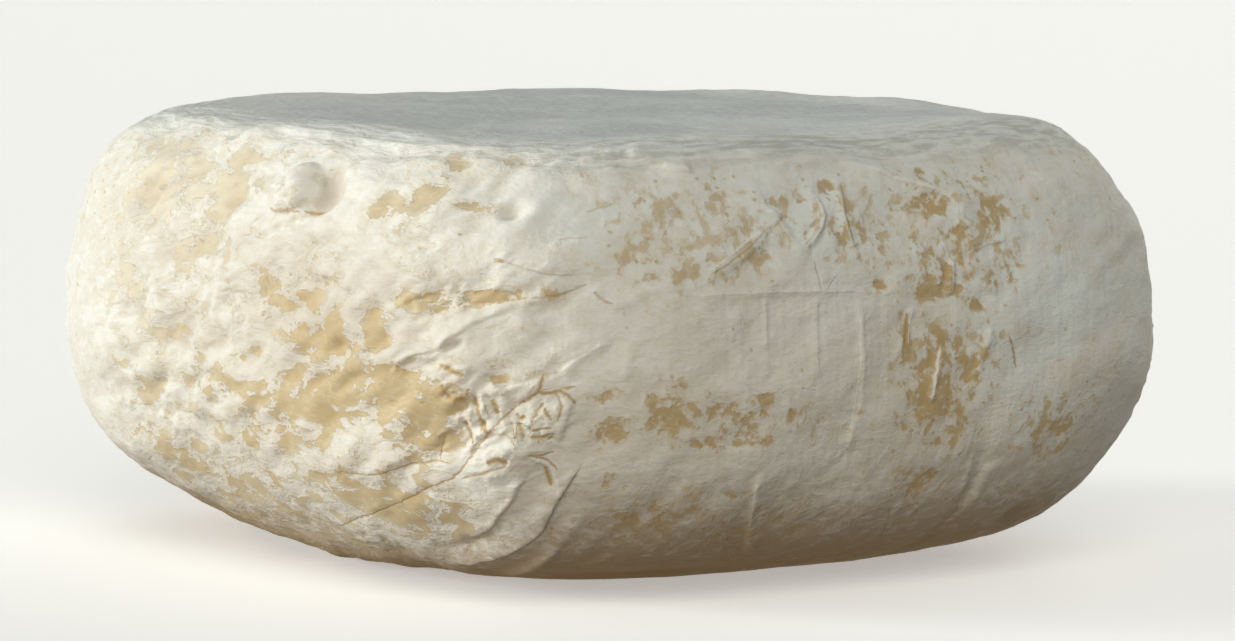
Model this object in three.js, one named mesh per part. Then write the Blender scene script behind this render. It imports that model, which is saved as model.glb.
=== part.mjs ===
// Square soft cheese with a bloomy rind: one solid body in millimetres, +Z up, on its flat foot at z = 0.
// A lathe-turned section is pushed out to a rounded square plan, and then takes the rind's dents and folds.
import * as THREE from "three";
import { mergeVertices } from "three/addons/utils/BufferGeometryUtils.js";

// Section half-widths and heights, measured at the middle of a side.
const FOOT_HALF = 25;
const BELLY_HALF = 55;
const BELLY_Z = 25;
const CREST_HALF = 45.3;
const CREST_Z = 50.2;
const BROW_HALF = 40;
const BROW_Z = 50.9;
const TOP_MIDDLE_Z = 50.4;

// Handles of the two side curves: foot to belly, and belly to crest.
const FOOT_PULL = 16;
const BELLY_PULL_DOWN = 17.5;
const BELLY_PULL_UP = 3.5;
const SHOULDER_DROP = 5.2;

// Squareness of the plan: 2 is a circle, larger is squarer.
const FOOT_SQUARE = 3.4;
const BELLY_SQUARE = 3.73;
const CREST_SQUARE = 3.84;

// The top leans up a little towards one corner.
const LEAN = 0.014;
const LEAN_TOWARDS = 105;

// Mesh fineness. Sectors lie closer together around the corner with the most relief.
const SECTORS = 112;
const LOWER_STEPS = 13;
const UPPER_STEPS = 15;
const CROWN_STEPS = 3;
const TOP_STEPS = 7;
const CLOSER = 0.32;
const CLOSER_AT = 322;
const SEAM_GAP = 0.001;

// Relief starts above the flat foot and grows to full strength over this height.
const FOOT_CLEAR = 0.1;
const FOOT_FADE = 1.5;

// Slow unevenness of the whole body: rise, wave length, heading and slope of each wave, and its start.
const SWELLS = [
  { rise: 0.14, length: 46, heading: 20, slope: 15, start: 0.4 },
  { rise: 0.12, length: 34, heading: 95, slope: -25, start: 2.1 },
  { rise: 0.12, length: 23, heading: 160, slope: 40, start: 4.0 },
  { rise: 0.08, length: 15, heading: 60, slope: 65, start: 1.2 },
];

// Mounds (rise above zero) and dents (below zero): angle, height, and half sizes along and up the side.
const MOUNDS = {
  blister: { angle: 284.5, z: 44.1, wide: 3.4, tall: 4.4, rise: 1.3 },
  hollowBesideBlister: { angle: 290, z: 44, wide: 3.6, tall: 5, rise: -0.9 },
  cornerDimple: { angle: 313.5, z: 43.8, wide: 3.4, tall: 3, rise: -0.6 },
  cornerSwirl: { angle: 313.2, z: 17.5, wide: 6, tall: 6, rise: 0.8 },
  pressedPanel: { angle: 342, z: 29.5, wide: 16, tall: 7, rise: -0.5 },
  wornHollow: { angle: 300, z: 21, wide: 15, tall: 8, rise: -0.5 },
  lumpyCheek: { angle: 262, z: 30, wide: 12, tall: 9, rise: 0.5 },
  notchOverFoot: { angle: 31.3, z: 6.5, wide: 6, tall: 5, rise: -1.2 },
  leftCornerTuck: { angle: 240, z: 5, wide: 20, tall: 11, rise: -1.2 },
  rightCornerTuck: { angle: 42, z: 14, wide: 18, tall: 14, rise: -0.9 },
  fullHeel: { angle: 277, z: 2.5, wide: 18, tall: 8, rise: 0.7 },
  tuckedHeel: { angle: 328, z: 1.5, wide: 24, tall: 11, rise: -0.7 },
  leftShoulder: { angle: 229, z: 43.5, wide: 15, tall: 10, rise: 0.6 },
  rightShoulder: { angle: 48, z: 46, wide: 15, tall: 11, rise: -1.1 },
  farRim: { angle: 88, z: 49.5, wide: 20, tall: 13, rise: 0.8 },
  farDent: { angle: 100, z: 30, wide: 13, tall: 9, rise: -0.6 },
  farLump: { angle: 72, z: 40, wide: 9, tall: 7, rise: 0.5 },
  sideDent: { angle: 190, z: 22, wide: 12, tall: 9, rise: -0.6 },
  sideLump: { angle: 168, z: 37, wide: 9, tall: 8, rise: 0.5 },
};

// Folds (rise above zero) and creases (below zero) along a path of angles and heights.
const FOLDS = {
  faceCrease: { width: 1.8, rise: -0.45, path: [[302, 33], [308, 34.6], [316.8, 35], [322, 36.6]] },
  faceRidge: { width: 2.2, rise: 0.5, path: [[303, 36], [309, 37.6], [316, 38.6], [321, 39.4]] },
  cornerSweep: { width: 1.5, rise: 0.6, path: [[323, 18.4], [320, 12], [313, 7.4], [305, 4.6]] },
  outerSweep: { width: 1.5, rise: 0.5, path: [[327, 16], [324, 9.5], [317, 6], [309, 4.2]] },
  cornerGroove: { width: 1.4, rise: -0.45, path: [[308.5, 15.4], [312, 19.4], [316.2, 24]] },
  brimFold: { width: 1.8, rise: 0.45, path: [[328, 49.2], [352, 47.8], [0, 46], [9.8, 43.6], [10, 38]] },
  panelEdge: { width: 1.4, rise: 0.35, path: [[332, 35], [342, 34.8], [353, 34.4]] },
  footCrease: { width: 1.6, rise: -0.45, path: [[12.5, 19.2], [15, 11], [17.8, 4.6]] },
  rightCornerFold: { width: 1.8, rise: 0.5, path: [[45, 12], [50, 22], [47, 31]] },
  farCornerFold: { width: 1.8, rise: 0.5, path: [[139, 10], [134, 20], [138, 29]] },
  leftCornerFold: { width: 1.8, rise: 0.5, path: [[221, 34], [227, 24], [223, 13]] },
};

// Samples for each point of a fold's path, and the part of a half wave that fades its ends.
const FOLD_SAMPLES = 6;
const FADE_IN = 0.12;
const FADE_OUT = 0.88;

const RIND_CREAM = 0xd6cfb9;
const RIND_ROUGHNESS = 0.9;

const { degToRad: rad, lerp, smoothstep } = THREE.MathUtils;

// Half section from the middle of the foot, round the side, to the middle of the top.
function sectionPoints() {
  const lower = new THREE.CubicBezierCurve(
    new THREE.Vector2(FOOT_HALF, 0),
    new THREE.Vector2(FOOT_HALF + FOOT_PULL, 0),
    new THREE.Vector2(BELLY_HALF, BELLY_Z - BELLY_PULL_DOWN),
    new THREE.Vector2(BELLY_HALF, BELLY_Z),
  );
  const upper = new THREE.CubicBezierCurve(
    new THREE.Vector2(BELLY_HALF, BELLY_Z),
    new THREE.Vector2(BELLY_HALF, BELLY_Z + BELLY_PULL_UP),
    new THREE.Vector2(BELLY_HALF, CREST_Z - SHOULDER_DROP),
    new THREE.Vector2(CREST_HALF, CREST_Z),
  );
  const crown = new THREE.QuadraticBezierCurve(
    new THREE.Vector2(CREST_HALF, CREST_Z),
    new THREE.Vector2((CREST_HALF + BROW_HALF) / 2, BROW_Z),
    new THREE.Vector2(BROW_HALF, BROW_Z),
  );
  const top = new THREE.QuadraticBezierCurve(
    new THREE.Vector2(BROW_HALF, BROW_Z),
    new THREE.Vector2(BROW_HALF / 2, BROW_Z),
    new THREE.Vector2(0, TOP_MIDDLE_Z),
  );
  return [
    new THREE.Vector2(0, 0),
    new THREE.Vector2(FOOT_HALF / 2, 0),
    ...lower.getSpacedPoints(LOWER_STEPS),
    ...upper.getSpacedPoints(UPPER_STEPS).slice(1),
    ...crown.getSpacedPoints(CROWN_STEPS).slice(1),
    ...top.getSpacedPoints(TOP_STEPS).slice(1),
  ];
}

// How far the plan reaches at an angle, as a share of the half-width at mid side.
function planReach(angle, z) {
  const square =
    z < BELLY_Z
      ? lerp(FOOT_SQUARE, BELLY_SQUARE, z / BELLY_Z)
      : lerp(BELLY_SQUARE, CREST_SQUARE, (z - BELLY_Z) / (BROW_Z - BELLY_Z));
  const across = Math.abs(Math.cos(angle)) ** square;
  const along = Math.abs(Math.sin(angle)) ** square;
  return (across + along) ** (-1 / square);
}

// A point of the plain body, before any relief.
function bodyPoint(angle, half, z) {
  const reach = half * planReach(angle, z);
  const point = new THREE.Vector3(reach * Math.cos(angle), reach * Math.sin(angle), z);
  const away = point.x * Math.cos(rad(LEAN_TOWARDS)) + point.y * Math.sin(rad(LEAN_TOWARDS));
  point.z += (z / CREST_Z) * LEAN * away;
  return point;
}

// A point of the plain body's side at an angle in degrees and a height.
function sidePoint(section, degrees, z) {
  const next = section.findIndex((p) => p.x > FOOT_HALF && p.y >= z);
  const [below, above] = [section[next - 1], section[next]];
  const share = (z - below.y) / (above.y - below.y);
  return bodyPoint(rad(degrees), lerp(below.x, above.x, share), z);
}

// Each mound as a function of a place on the body: an even dome over an ellipse lying on the side.
function moundRelief(section, mound) {
  const middle = sidePoint(section, mound.angle, mound.z);
  const beside = sidePoint(section, mound.angle + 1, mound.z);
  const along = beside.sub(middle).normalize();
  return (place) => {
    const offset = place.clone().sub(middle);
    const sideways = offset.dot(along);
    const rest = Math.sqrt(Math.max(0, offset.lengthSq() - sideways * sideways));
    const spread = (sideways / mound.wide) ** 2 + (rest / mound.tall) ** 2;
    return spread < 1 ? mound.rise * (1 - spread) ** 2 : 0;
  };
}

// Each fold as a function of a place on the body: a soft ridge or groove that dies away at its ends.
function foldRelief(section, fold) {
  const corners = fold.path.map(([angle, z]) => sidePoint(section, angle, z));
  const line = new THREE.CatmullRomCurve3(corners);
  const samples = line.getSpacedPoints(FOLD_SAMPLES * corners.length);
  return (place) => {
    let nearest = Infinity;
    let share = 0;
    samples.forEach((sample, i) => {
      const gap = sample.distanceTo(place);
      if (gap < nearest) [nearest, share] = [gap, i / (samples.length - 1)];
    });
    const ends = Math.sin(Math.PI * lerp(FADE_IN, FADE_OUT, share));
    return fold.rise * ends * Math.exp(-((nearest / fold.width) ** 2));
  };
}

// Slow unevenness: a sum of plane waves through the body.
function swell(place) {
  return SWELLS.reduce((sum, wave) => {
    const flat = Math.cos(rad(wave.slope));
    const travel =
      place.x * flat * Math.cos(rad(wave.heading)) +
      place.y * flat * Math.sin(rad(wave.heading)) +
      place.z * Math.sin(rad(wave.slope));
    return sum + wave.rise * Math.sin((2 * Math.PI * travel) / wave.length + wave.start);
  }, 0);
}

// The lathe-turned body with its seam closed and its plan squared.
function squaredBody(section) {
  const turnedBody = new THREE.LatheGeometry(section, SECTORS).rotateX(Math.PI / 2);
  turnedBody.deleteAttribute("uv");
  turnedBody.deleteAttribute("normal");
  const geometry = mergeVertices(turnedBody, SEAM_GAP);
  const places = geometry.getAttribute("position");
  const place = new THREE.Vector3();
  for (let i = 0; i < places.count; i++) {
    place.fromBufferAttribute(places, i);
    const turned = Math.atan2(place.y, place.x);
    const angle = turned - CLOSER * Math.sin(turned - rad(CLOSER_AT));
    const body = bodyPoint(angle, Math.hypot(place.x, place.y), place.z);
    places.setXYZ(i, body.x, body.y, body.z);
  }
  geometry.computeVertexNormals();
  return geometry;
}

// Swells, mounds and folds, raised along the surface and kept off the flat foot.
function raiseRelief(geometry, section) {
  const places = geometry.getAttribute("position");
  const normals = geometry.getAttribute("normal");
  const reliefs = [
    swell,
    ...Object.values(MOUNDS).map((mound) => moundRelief(section, mound)),
    ...Object.values(FOLDS).map((fold) => foldRelief(section, fold)),
  ];
  const place = new THREE.Vector3();
  const outward = new THREE.Vector3();
  for (let i = 0; i < places.count; i++) {
    place.fromBufferAttribute(places, i);
    outward.fromBufferAttribute(normals, i);
    const rise = reliefs.reduce((sum, relief) => sum + relief(place), 0);
    place.addScaledVector(outward, rise * smoothstep(place.z, FOOT_CLEAR, FOOT_FADE));
    places.setXYZ(i, place.x, place.y, Math.max(place.z, 0));
  }
}

// The whole cheese, with the middle of its plan on the Z axis.
function cheeseGeometry() {
  const section = sectionPoints();
  const geometry = squaredBody(section);
  raiseRelief(geometry, section);
  geometry.computeBoundingBox();
  const middle = geometry.boundingBox.getCenter(new THREE.Vector3());
  geometry.translate(-middle.x, -middle.y, 0);
  geometry.computeVertexNormals();
  return geometry;
}

const rind = new THREE.MeshStandardMaterial({ color: RIND_CREAM, roughness: RIND_ROUGHNESS });
const cheese = new THREE.Mesh(cheeseGeometry(), rind);
cheese.name = "cheese";

const part = new THREE.Group();
part.name = "square_soft_cheese";
part.add(cheese);

export default part;
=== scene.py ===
"""A square soft cheese with a bloomy rind: the sculpted rind, its finish, and the stage it stands on."""

import math
import random

import bmesh
import bpy
import numpy as np
from mathutils import Matrix, Vector, noise
from mathutils.kdtree import KDTree


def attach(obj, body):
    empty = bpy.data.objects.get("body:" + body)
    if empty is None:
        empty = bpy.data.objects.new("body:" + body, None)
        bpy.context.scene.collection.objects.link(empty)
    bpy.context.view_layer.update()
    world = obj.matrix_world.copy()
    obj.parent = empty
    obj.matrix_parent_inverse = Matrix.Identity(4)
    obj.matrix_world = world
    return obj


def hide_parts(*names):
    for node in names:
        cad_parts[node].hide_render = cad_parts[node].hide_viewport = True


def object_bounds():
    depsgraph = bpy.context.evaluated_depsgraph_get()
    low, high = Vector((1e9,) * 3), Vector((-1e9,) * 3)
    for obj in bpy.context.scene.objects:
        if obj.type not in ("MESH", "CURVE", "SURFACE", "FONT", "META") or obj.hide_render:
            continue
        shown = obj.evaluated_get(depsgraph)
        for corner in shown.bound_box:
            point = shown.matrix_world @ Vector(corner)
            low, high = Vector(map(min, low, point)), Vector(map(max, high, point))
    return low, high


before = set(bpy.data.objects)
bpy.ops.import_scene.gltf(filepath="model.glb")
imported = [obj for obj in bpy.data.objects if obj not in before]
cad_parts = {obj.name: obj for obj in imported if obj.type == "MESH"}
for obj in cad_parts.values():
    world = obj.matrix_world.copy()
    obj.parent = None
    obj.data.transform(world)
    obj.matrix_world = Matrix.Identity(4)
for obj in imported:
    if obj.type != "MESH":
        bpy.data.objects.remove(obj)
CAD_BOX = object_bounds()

bl_info = {
    "name": "Square soft cheese",
    "version": (1, 0, 0),
    "blender": (4, 5, 0),
    "location": "3D View > Sidebar > Cheese",
    "description": "Sculpts and dresses a square soft cheese, and sets its stage",
    "category": "Object",
}

NODE = "cheese"
MILLIMETRE = 0.001
CAD_LOW, CAD_HIGH = CAD_BOX

# The body's section in millimetres, at the middle of a side, as in the solid.
FOOT_HALF = 25.0
BELLY_HALF = 55.0
BELLY_Z = 25.0
CREST_HALF = 45.3
CREST_Z = 50.2
BROW_HALF = 40.0
BROW_Z = 50.9
TOP_MIDDLE_Z = 50.4
FOOT_PULL = 16.0
BELLY_PULL_DOWN = 17.5
BELLY_PULL_UP = 3.5
SHOULDER_DROP = 5.2

# Squareness of the plan, and the lean of the top.
FOOT_SQUARE = 3.4
BELLY_SQUARE = 3.73
CREST_SQUARE = 3.84
LEAN = 0.014
LEAN_TOWARDS = 105.0

# Mesh fineness: sectors and rings of the turned body, before its shown sides are split finer.
SECTORS = 144
FOOT_STEPS = 5
LOWER_STEPS = 19
UPPER_STEPS = 15
CROWN_STEPS = 4
TOP_STEPS = 12
CURVE_SAMPLES = 200
POLE_GAP = 0.001

# Faces are split above these heights, outside these half widths of the top, and near the relief's lines.
SPLIT_ABOVE = 0.4
SPLIT_TOP_HALF = 24.0
SHOWN_FROM = 222.0
SHOWN_SPAN = 188.0
SHOWN_ABOVE = 1.5
SHOWN_TOP_HALF = 38.0
CREASE_SPLIT = 1.1
WELT_SPLIT = 3.2
BUNDLE_SPLIT = 0.6
BUNDLE_ANGLES = (305.0, 323.0)
BUNDLE_HEIGHTS = (8.0, 30.0)

# Lines on the side: their samples and steps, millimetres in a degree, and how soon their ends are full.
PATH_SAMPLES = 12
LEAST_STEPS = 4
LINE_STEP = 0.3
DEGREE_LENGTH = math.pi * BELLY_HALF / 180
LINE_END = 0.5

# Creases: layers that part the lines that cross or come close, and the form of grooves, lips and ridges.
CREASE_LAYERS = 5
GROOVE_WIDTH = 0.26
GROOVE_SPREAD = 0.8
GROOVE_SHARE = 0.2
LIP_PLACE = 1.8
LIP_SHARE = 0.7
RIDGE_SHARE = 0.7
CREASE_REACH = 1.2
CREASE_FADE = (0.6 * CREASE_REACH, 0.95 * CREASE_REACH)
CREASE_CLEAR = 2.6

# Spots, folds, pleats and welts: reach in their own widths, and the form of their ends and flanks.
SPOT_STEP = 0.5
SPOT_REACH = 2.6
FOLD_REACH = 3
FOLD_START = 0.12
FOLD_RUN = 0.76
PLEAT_REACH = 3
PLEAT_FADE = 1.4
WELT_FLANK = 0.8

# Facets of crumpled rind: spread of their tilts, share of the tilt, and wear along rubbed edges.
FACET_SPREAD = 7.3
FACET_SHARE = 2
RUBBED_EDGE = 0.2
RUBBED_WEAR = 0.5

# Relief starts just above the flat foot, at the first of these heights, and is full at the second.
FOOT_CLEAR = 0.1
FOOT_FADE = 1.5

# Slow unevenness of the whole body: rise, wave length, heading, slope and start of each wave.
SWELLS = (
    (0.14, 46.0, 20.0, 15.0, 0.4),
    (0.12, 34.0, 95.0, -25.0, 2.1),
    (0.12, 23.0, 160.0, 40.0, 4.0),
    (0.08, 15.0, 60.0, 65.0, 1.2),
)

# Mounds and dents: angle, height, half sizes along and up the side, and rise.
MOUNDS = {
    "crest dip": (288.0, 49.8, 16.0, 5.0, -0.9),
    "corner swirl": (313.2, 17.5, 6.0, 6.0, 0.8),
    "pressed panel": (342.0, 29.5, 16.0, 7.0, -0.5),
    "worn hollow": (300.0, 21.0, 15.0, 8.0, -0.5),
    "lumpy cheek": (262.0, 30.0, 12.0, 9.0, 0.5),
    "notch over foot": (31.3, 6.5, 6.0, 5.0, -1.2),
    "left corner tuck": (240.0, 5.0, 20.0, 11.0, -1.2),
    "right corner tuck": (42.0, 14.0, 18.0, 14.0, -0.9),
    "full heel": (277.0, 2.5, 18.0, 8.0, 0.7),
    "tucked heel": (328.0, 1.5, 24.0, 11.0, -0.7),
    "left shoulder": (229.0, 43.5, 15.0, 10.0, 0.6),
    "right shoulder": (48.0, 46.0, 15.0, 11.0, -1.1),
    "far rim": (88.0, 49.5, 20.0, 13.0, 0.8),
    "far dent": (100.0, 30.0, 13.0, 9.0, -0.6),
    "far lump": (72.0, 40.0, 9.0, 7.0, 0.5),
    "side dent": (190.0, 22.0, 12.0, 9.0, -0.6),
    "side lump": (168.0, 37.0, 9.0, 8.0, 0.5),
}

# Smaller thumb marks and lumps of the lit side, in the same order of values.
THUMB_MARKS = {
    "hollow beside blister": (287.6, 44.4, 3.6, 4.4, -1.5),
    "hollow under blister": (285.5, 40.9, 4.2, 1.4, -0.6),
    "corner dimple": (313.2, 43.8, 2.4, 1.7, -1.1),
    "cheek hollow": (255.0, 29.0, 4.0, 2.6, -0.6),
    "cheek groove": (270.0, 27.0, 3.6, 2.4, -0.65),
    "heel hollow": (266.5, 16.0, 3.0, 2.6, -0.5),
    "brown hollow": (290.5, 34.6, 4.0, 1.4, -0.9),
    "ridge hollow": (304.8, 29.6, 3.2, 1.8, -0.8),
    "paste hollow": (294.6, 28.2, 2.6, 1.6, -0.7),
    "face lump": (297.0, 36.4, 4.2, 1.8, 0.4),
    "shoulder lump": (294.0, 46.0, 4.0, 2.6, 0.35),
    "crest lump": (302.2, 48.4, 2.4, 1.6, 0.5),
    "crest lump two": (309.2, 48.6, 2.2, 1.5, 0.5),
    "crest lump three": (284.0, 48.8, 3.4, 1.5, 0.4),
    "crest lump four": (315.5, 47.6, 3.0, 1.6, 0.3),
    "cheek lump": (276.0, 30.5, 3.6, 2.2, 0.4),
    "low lump": (263.0, 18.5, 5.0, 3.0, 0.5),
    "low hollow": (272.0, 21.5, 5.0, 2.4, -0.4),
    "upper lump": (271.0, 40.0, 5.0, 3.0, 0.4),
    "upper hollow": (277.0, 42.5, 3.6, 3.0, -0.4),
}

# Rounded swellings with steep flanks: width at the start and at the end, rise and path.
WELTS = {
    "blister": (2.2, 0.8, 1.5, ((283.2, 45.2), (283.6, 44.6), (283.6, 43.9), (282.9, 43.0), (281.6, 42.3),
                                (280.2, 41.9))),
}

# Soft folds and grooves: width, rise and the path as angles and heights.
FOLDS = {
    "face crease": (1.8, -0.45, ((302, 33), (308, 34.6), (316.8, 35), (322, 36.6))),
    "face ridge": (2.2, 0.5, ((303, 36), (309, 37.6), (316, 38.6), (321, 39.4))),
    "crest lip": (0.9, 0.2, ((258, 49.9), (275, 50.1), (296, 50.1), (318, 49.9))),
    "third sweep": (0.8, 0.75, ((320.8, 11.5), (318.7, 8.6), (316.2, 5.7), (312.6, 3.4), (309, 2))),
    "sweep valley": (1.0, -0.4, ((312, 10.4), (310.2, 8.4), (307.4, 6.8), (304, 5.6))),
    "corner groove": (1.2, -0.3, ((308.5, 15.4), (312, 19.4), (316.2, 24))),
    "brim fold": (1.8, 0.45, ((328, 49.2), (352, 47.8), (360, 46), (369.8, 43.6), (370, 38))),
    "fan arc": (0.6, 0.4, ((347.8, 45), (348.4, 42.6), (347, 40.4), (345, 39.2))),
    "fan spar": (0.6, 0.4, ((341.4, 41.8), (337.8, 39.2), (333.2, 36.6))),
    "fan rib": (0.6, 0.35, ((341, 43.8), (343, 41.8), (344.4, 39.6))),
    "fan wall": (0.6, 0.35, ((352.2, 46), (351.8, 42.5), (353, 38.8))),
    "corner bow": (0.7, 0.4, ((321.2, 36.4), (322.8, 34.6), (324.6, 34.4), (327, 35.8), (329.6, 36.2))),
    "foot crease": (1.6, -0.45, ((12.5, 19.2), (15, 11), (17.8, 4.6))),
    "right corner fold": (1.8, 0.5, ((45, 12), (50, 22), (47, 31))),
    "far corner fold": (1.8, 0.5, ((139, 10), (134, 20), (138, 29))),
    "left corner fold": (1.8, 0.5, ((221, 34), (227, 24), (223, 13))),
}

# Fine creases: half width of the stroke, depth, stain and path. The stain shows brown in the groove.
CREASES = {
    "long corner": (0.12, 0.3, 0.8, ((283, 5.5), (294, 8.7), (300.5, 11.2), (305.2, 13.6), (308.2, 15.2),
                                     (311.5, 19.6), (313.2, 21.7), (314.8, 23.4), (317.2, 25.1),
                                     (320.2, 25.7))),
    "across paste": (0.12, 0.2, 0.8, ((291.2, 13.8), (297.8, 14.3), (302.5, 15.6), (305.8, 16.3),
                                      (308.5, 16.4))),
    "paste tick": (0.1, 0.15, 0.7, ((307, 19.4), (306.2, 16.4))),
    "fan first": (0.3, 0.35, 1.0, ((307, 27.4), (309.8, 26.3))),
    "fan hook": (0.3, 0.35, 1.0, ((307.4, 25.4), (308, 24), (309, 23.8), (310.2, 24.9))),
    "fan third": (0.26, 0.35, 0.9, ((310.5, 23.8), (311, 22.2), (311.2, 20.3))),
    "fan fourth": (0.32, 0.35, 1.0, ((312.2, 24), (312.5, 23), (312.8, 22.2))),
    "fan fifth": (0.16, 0.3, 0.8, ((309.2, 21.3), (310.2, 19))),
    "star up": (0.2, 0.3, 1.0, ((314.8, 23.4), (316.5, 24.7), (317.2, 26.9))),
    "star across": (0.16, 0.3, 1.0, ((316.5, 24.7), (318.2, 24.9), (320.2, 25.6))),
    "cell one": (0.16, 0.25, 0.9, ((316, 21.5), (317.2, 23.8))),
    "cell two": (0.16, 0.25, 0.9, ((317.2, 23.2), (318, 21.9))),
    "cell three": (0.12, 0.25, 1.0, ((315.8, 20.7), (318, 21.1))),
    "cell four": (0.14, 0.3, 0.8, ((318, 25.2), (318.8, 23.6), (318.5, 21.7))),
    "leg one": (0.12, 0.25, 1.0, ((315.5, 18.2), (316.8, 18.1), (318.2, 18.4))),
    "leg two": (0.14, 0.3, 0.9, ((316, 18.1), (317.5, 17.5), (318.5, 16.4))),
    "leg three": (0.26, 0.35, 1.0, ((317.2, 16.8), (317.8, 14.6))),
    "fan sixth": (0.24, 0.3, 1.0, ((310.9, 21.9), (311.4, 20.9), (312, 20.1))),
    "fan seventh": (0.26, 0.3, 1.0, ((309.4, 21.4), (309.8, 20.2), (310.3, 18.8))),
    "fan eighth": (0.3, 0.3, 1.0, ((310.3, 24.1), (310.8, 22.8), (311.1, 21.6))),
    "cell five": (0.2, 0.25, 1.0, ((314.6, 22.6), (315, 22), (315.6, 22.3))),
    "cell six": (0.2, 0.25, 1.0, ((315.8, 20.2), (317, 20.1), (317.9, 20.3), (317.5, 19.6))),
    "cell seven": (0.24, 0.25, 0.8, ((314.9, 21.6), (315.1, 20.8), (315.3, 19.8))),
    "cell eight": (0.16, 0.25, 0.9, ((318.6, 25.1), (319.6, 24.4), (320.2, 23.6))),
    "eye arc": (0.16, 0.35, 0.3, ((309.8, 17.2), (310.8, 19), (312.5, 20), (314, 20.1), (314.8, 18.8))),
    "eye slit": (0.42, 0.4, 1.0, ((311.7, 17.1), (312.8, 17.7), (313.9, 17.3))),
    "eye tail": (0.15, 0.3, 0.7, ((314, 17.2), (311.2, 15.9), (308.5, 14.7))),
    "second sweep": (0.1, 0.3, 0.5, ((321.2, 17.5), (319.2, 14.3), (318, 12.1), (316.5, 9.2), (314.2, 7.5),
                                     (311.2, 5.9), (305.2, 4))),
    "face line": (0.2, 0.3, 0.6, ((301.5, 32.9), (303.5, 34), (305.8, 34.9), (307.2, 35.4))),
    "face line two": (0.16, 0.25, 0.6, ((308, 34.8), (310, 34.2), (313, 34.5), (315.5, 34.8))),
    "face line three": (0.2, 0.25, 0.6, ((309.8, 35.2), (312, 35.5), (313.5, 35.4), (314.8, 34.9))),
    "face line four": (0.12, 0.25, 0.6, ((315.5, 34.8), (317.6, 35), (320.2, 36), (321.2, 36.6))),
    "groove": (0.1, 0.25, 0.3, ((312, 38.6), (313.5, 38.3), (316.8, 37.3), (320, 37.2))),
    "groove end": (0.2, 0.3, 1.0, ((311.8, 38.7), (313, 38.4))),
    "thin one": (0.1, 0.12, 0.3, ((318, 41), (320.8, 41.2))),
    "thin two": (0.1, 0.12, 0.4, ((320.5, 43.8), (323.5, 44.7))),
    "under blister": (0.14, 0.4, 0.8, ((279.6, 41.6), (281.4, 41.5), (283.2, 41.7), (284.8, 41.9))),
    "beside blister": (0.3, 0.5, 1.0, ((285, 42), (286.4, 42.2), (288.4, 42.6))),
    "fan b": (0.12, 0.15, 0.6, ((340.6, 41.4), (337.8, 39.3), (333.2, 36.7))),
    "fan d": (0.1, 0.2, 0.3, ((347.8, 44.7), (348, 42.5), (346.8, 40.4), (345.2, 39.4))),
    "fan e": (0.12, 0.2, 0.5, ((352.5, 45.7), (352.2, 42.5), (353.2, 39))),
    "vee one": (0.08, 0.12, 0.4, ((346.8, 38.1), (347.5, 34.6))),
    "vee two": (0.08, 0.12, 0.3, ((349.8, 36.3), (348.2, 34.6))),
    "strip stroke": (0.24, 0.3, 1.0, ((360.2, 31.9), (359.8, 28.2))),
    "right arc": (0.18, 0.2, 0.9, ((375, 28.6), (376, 26.7), (376.5, 24.7))),
    "foot tick": (0.1, 0.15, 0.3, ((362.2, 10.1), (366, 5.4))),
    "crack one": (0.07, 0.15, 0.2, ((273, 34.9), (274.2, 30.9), (274.5, 27.6))),
    "crack two": (0.07, 0.15, 0.2, ((280.5, 34.8), (281, 31.5))),
    "hook": (0.14, 0.25, 0.6, ((321.6, 35.6), (322.6, 34.6), (323.6, 34.2))),
}

# Fine ridges of the shaded side: half width, height, lightness and path. The lightness is a painted highlight
# along each ridge.
RIDGES = {
    "fan spar": (0.14, 0.6, 0.9, ((340.5, 41.8), (336.8, 39.5), (333.2, 37.2))),
    "fan arc": (0.16, 0.7, 1.0, ((348, 45), (348.5, 42.6), (348.2, 41.5), (346.8, 40.1), (345.5, 39.2))),
    "fan wall": (0.1, 0.4, 0.6, ((351.6, 46), (351.6, 44.2), (351.9, 41.6), (352.9, 38.6))),
    "fan rib": (0.1, 0.4, 0.5, ((341.5, 43.4), (343.8, 40.6), (345.6, 39))),
    "brow": (0.18, 1.0, 1.0, ((352.8, 48), (357.5, 46.9), (361.5, 45.8), (367, 44.5), (369.5, 43.2),
                              (369.8, 40.9))),
    "star rib": (0.12, 0.5, 0.9, ((365.8, 41.2), (366.8, 38.7), (367.3, 36.3), (366.8, 33.4))),
    "star arm": (0.1, 0.4, 0.6, ((369.2, 37.5), (372, 38.4), (377, 39.2))),
    "panel edge": (0.08, 0.35, 0.7, ((330.5, 34.8), (334.8, 34.9), (339.5, 34.9), (348.8, 34.6),
                                     (357.8, 34.1))),
    "press one": (0.07, 0.3, 0.5, ((337.3, 34.6), (337.3, 31.9), (337.2, 29))),
    "press two": (0.07, 0.3, 0.5, ((340.2, 34.6), (340.3, 31.5), (340.2, 28.6))),
    "press three": (0.07, 0.3, 0.5, ((347, 34.5), (346.8, 29.1), (346.7, 25))),
    "press four": (0.08, 0.4, 0.8, ((352.5, 34), (353, 30), (352.5, 22.8), (352.2, 19), (352.2, 16.3))),
    "strip": (0.16, 0.7, 1.0, ((365.2, 28.3), (364.2, 24.9), (363.5, 21.5))),
    "strip stroke": (0.1, 0.5, 0.8, ((361, 32.5), (360.6, 30.3), (360.3, 28))),
    "foot": (0.14, 0.6, 0.8, ((339.8, 14.7), (340.2, 11.8), (341.2, 8.1))),
    "crest": (0.24, 1.4, 1.0, ((323.6, 49.2), (326.5, 48.6), (328.8, 47.9), (332.4, 47.2))),
}

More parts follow.
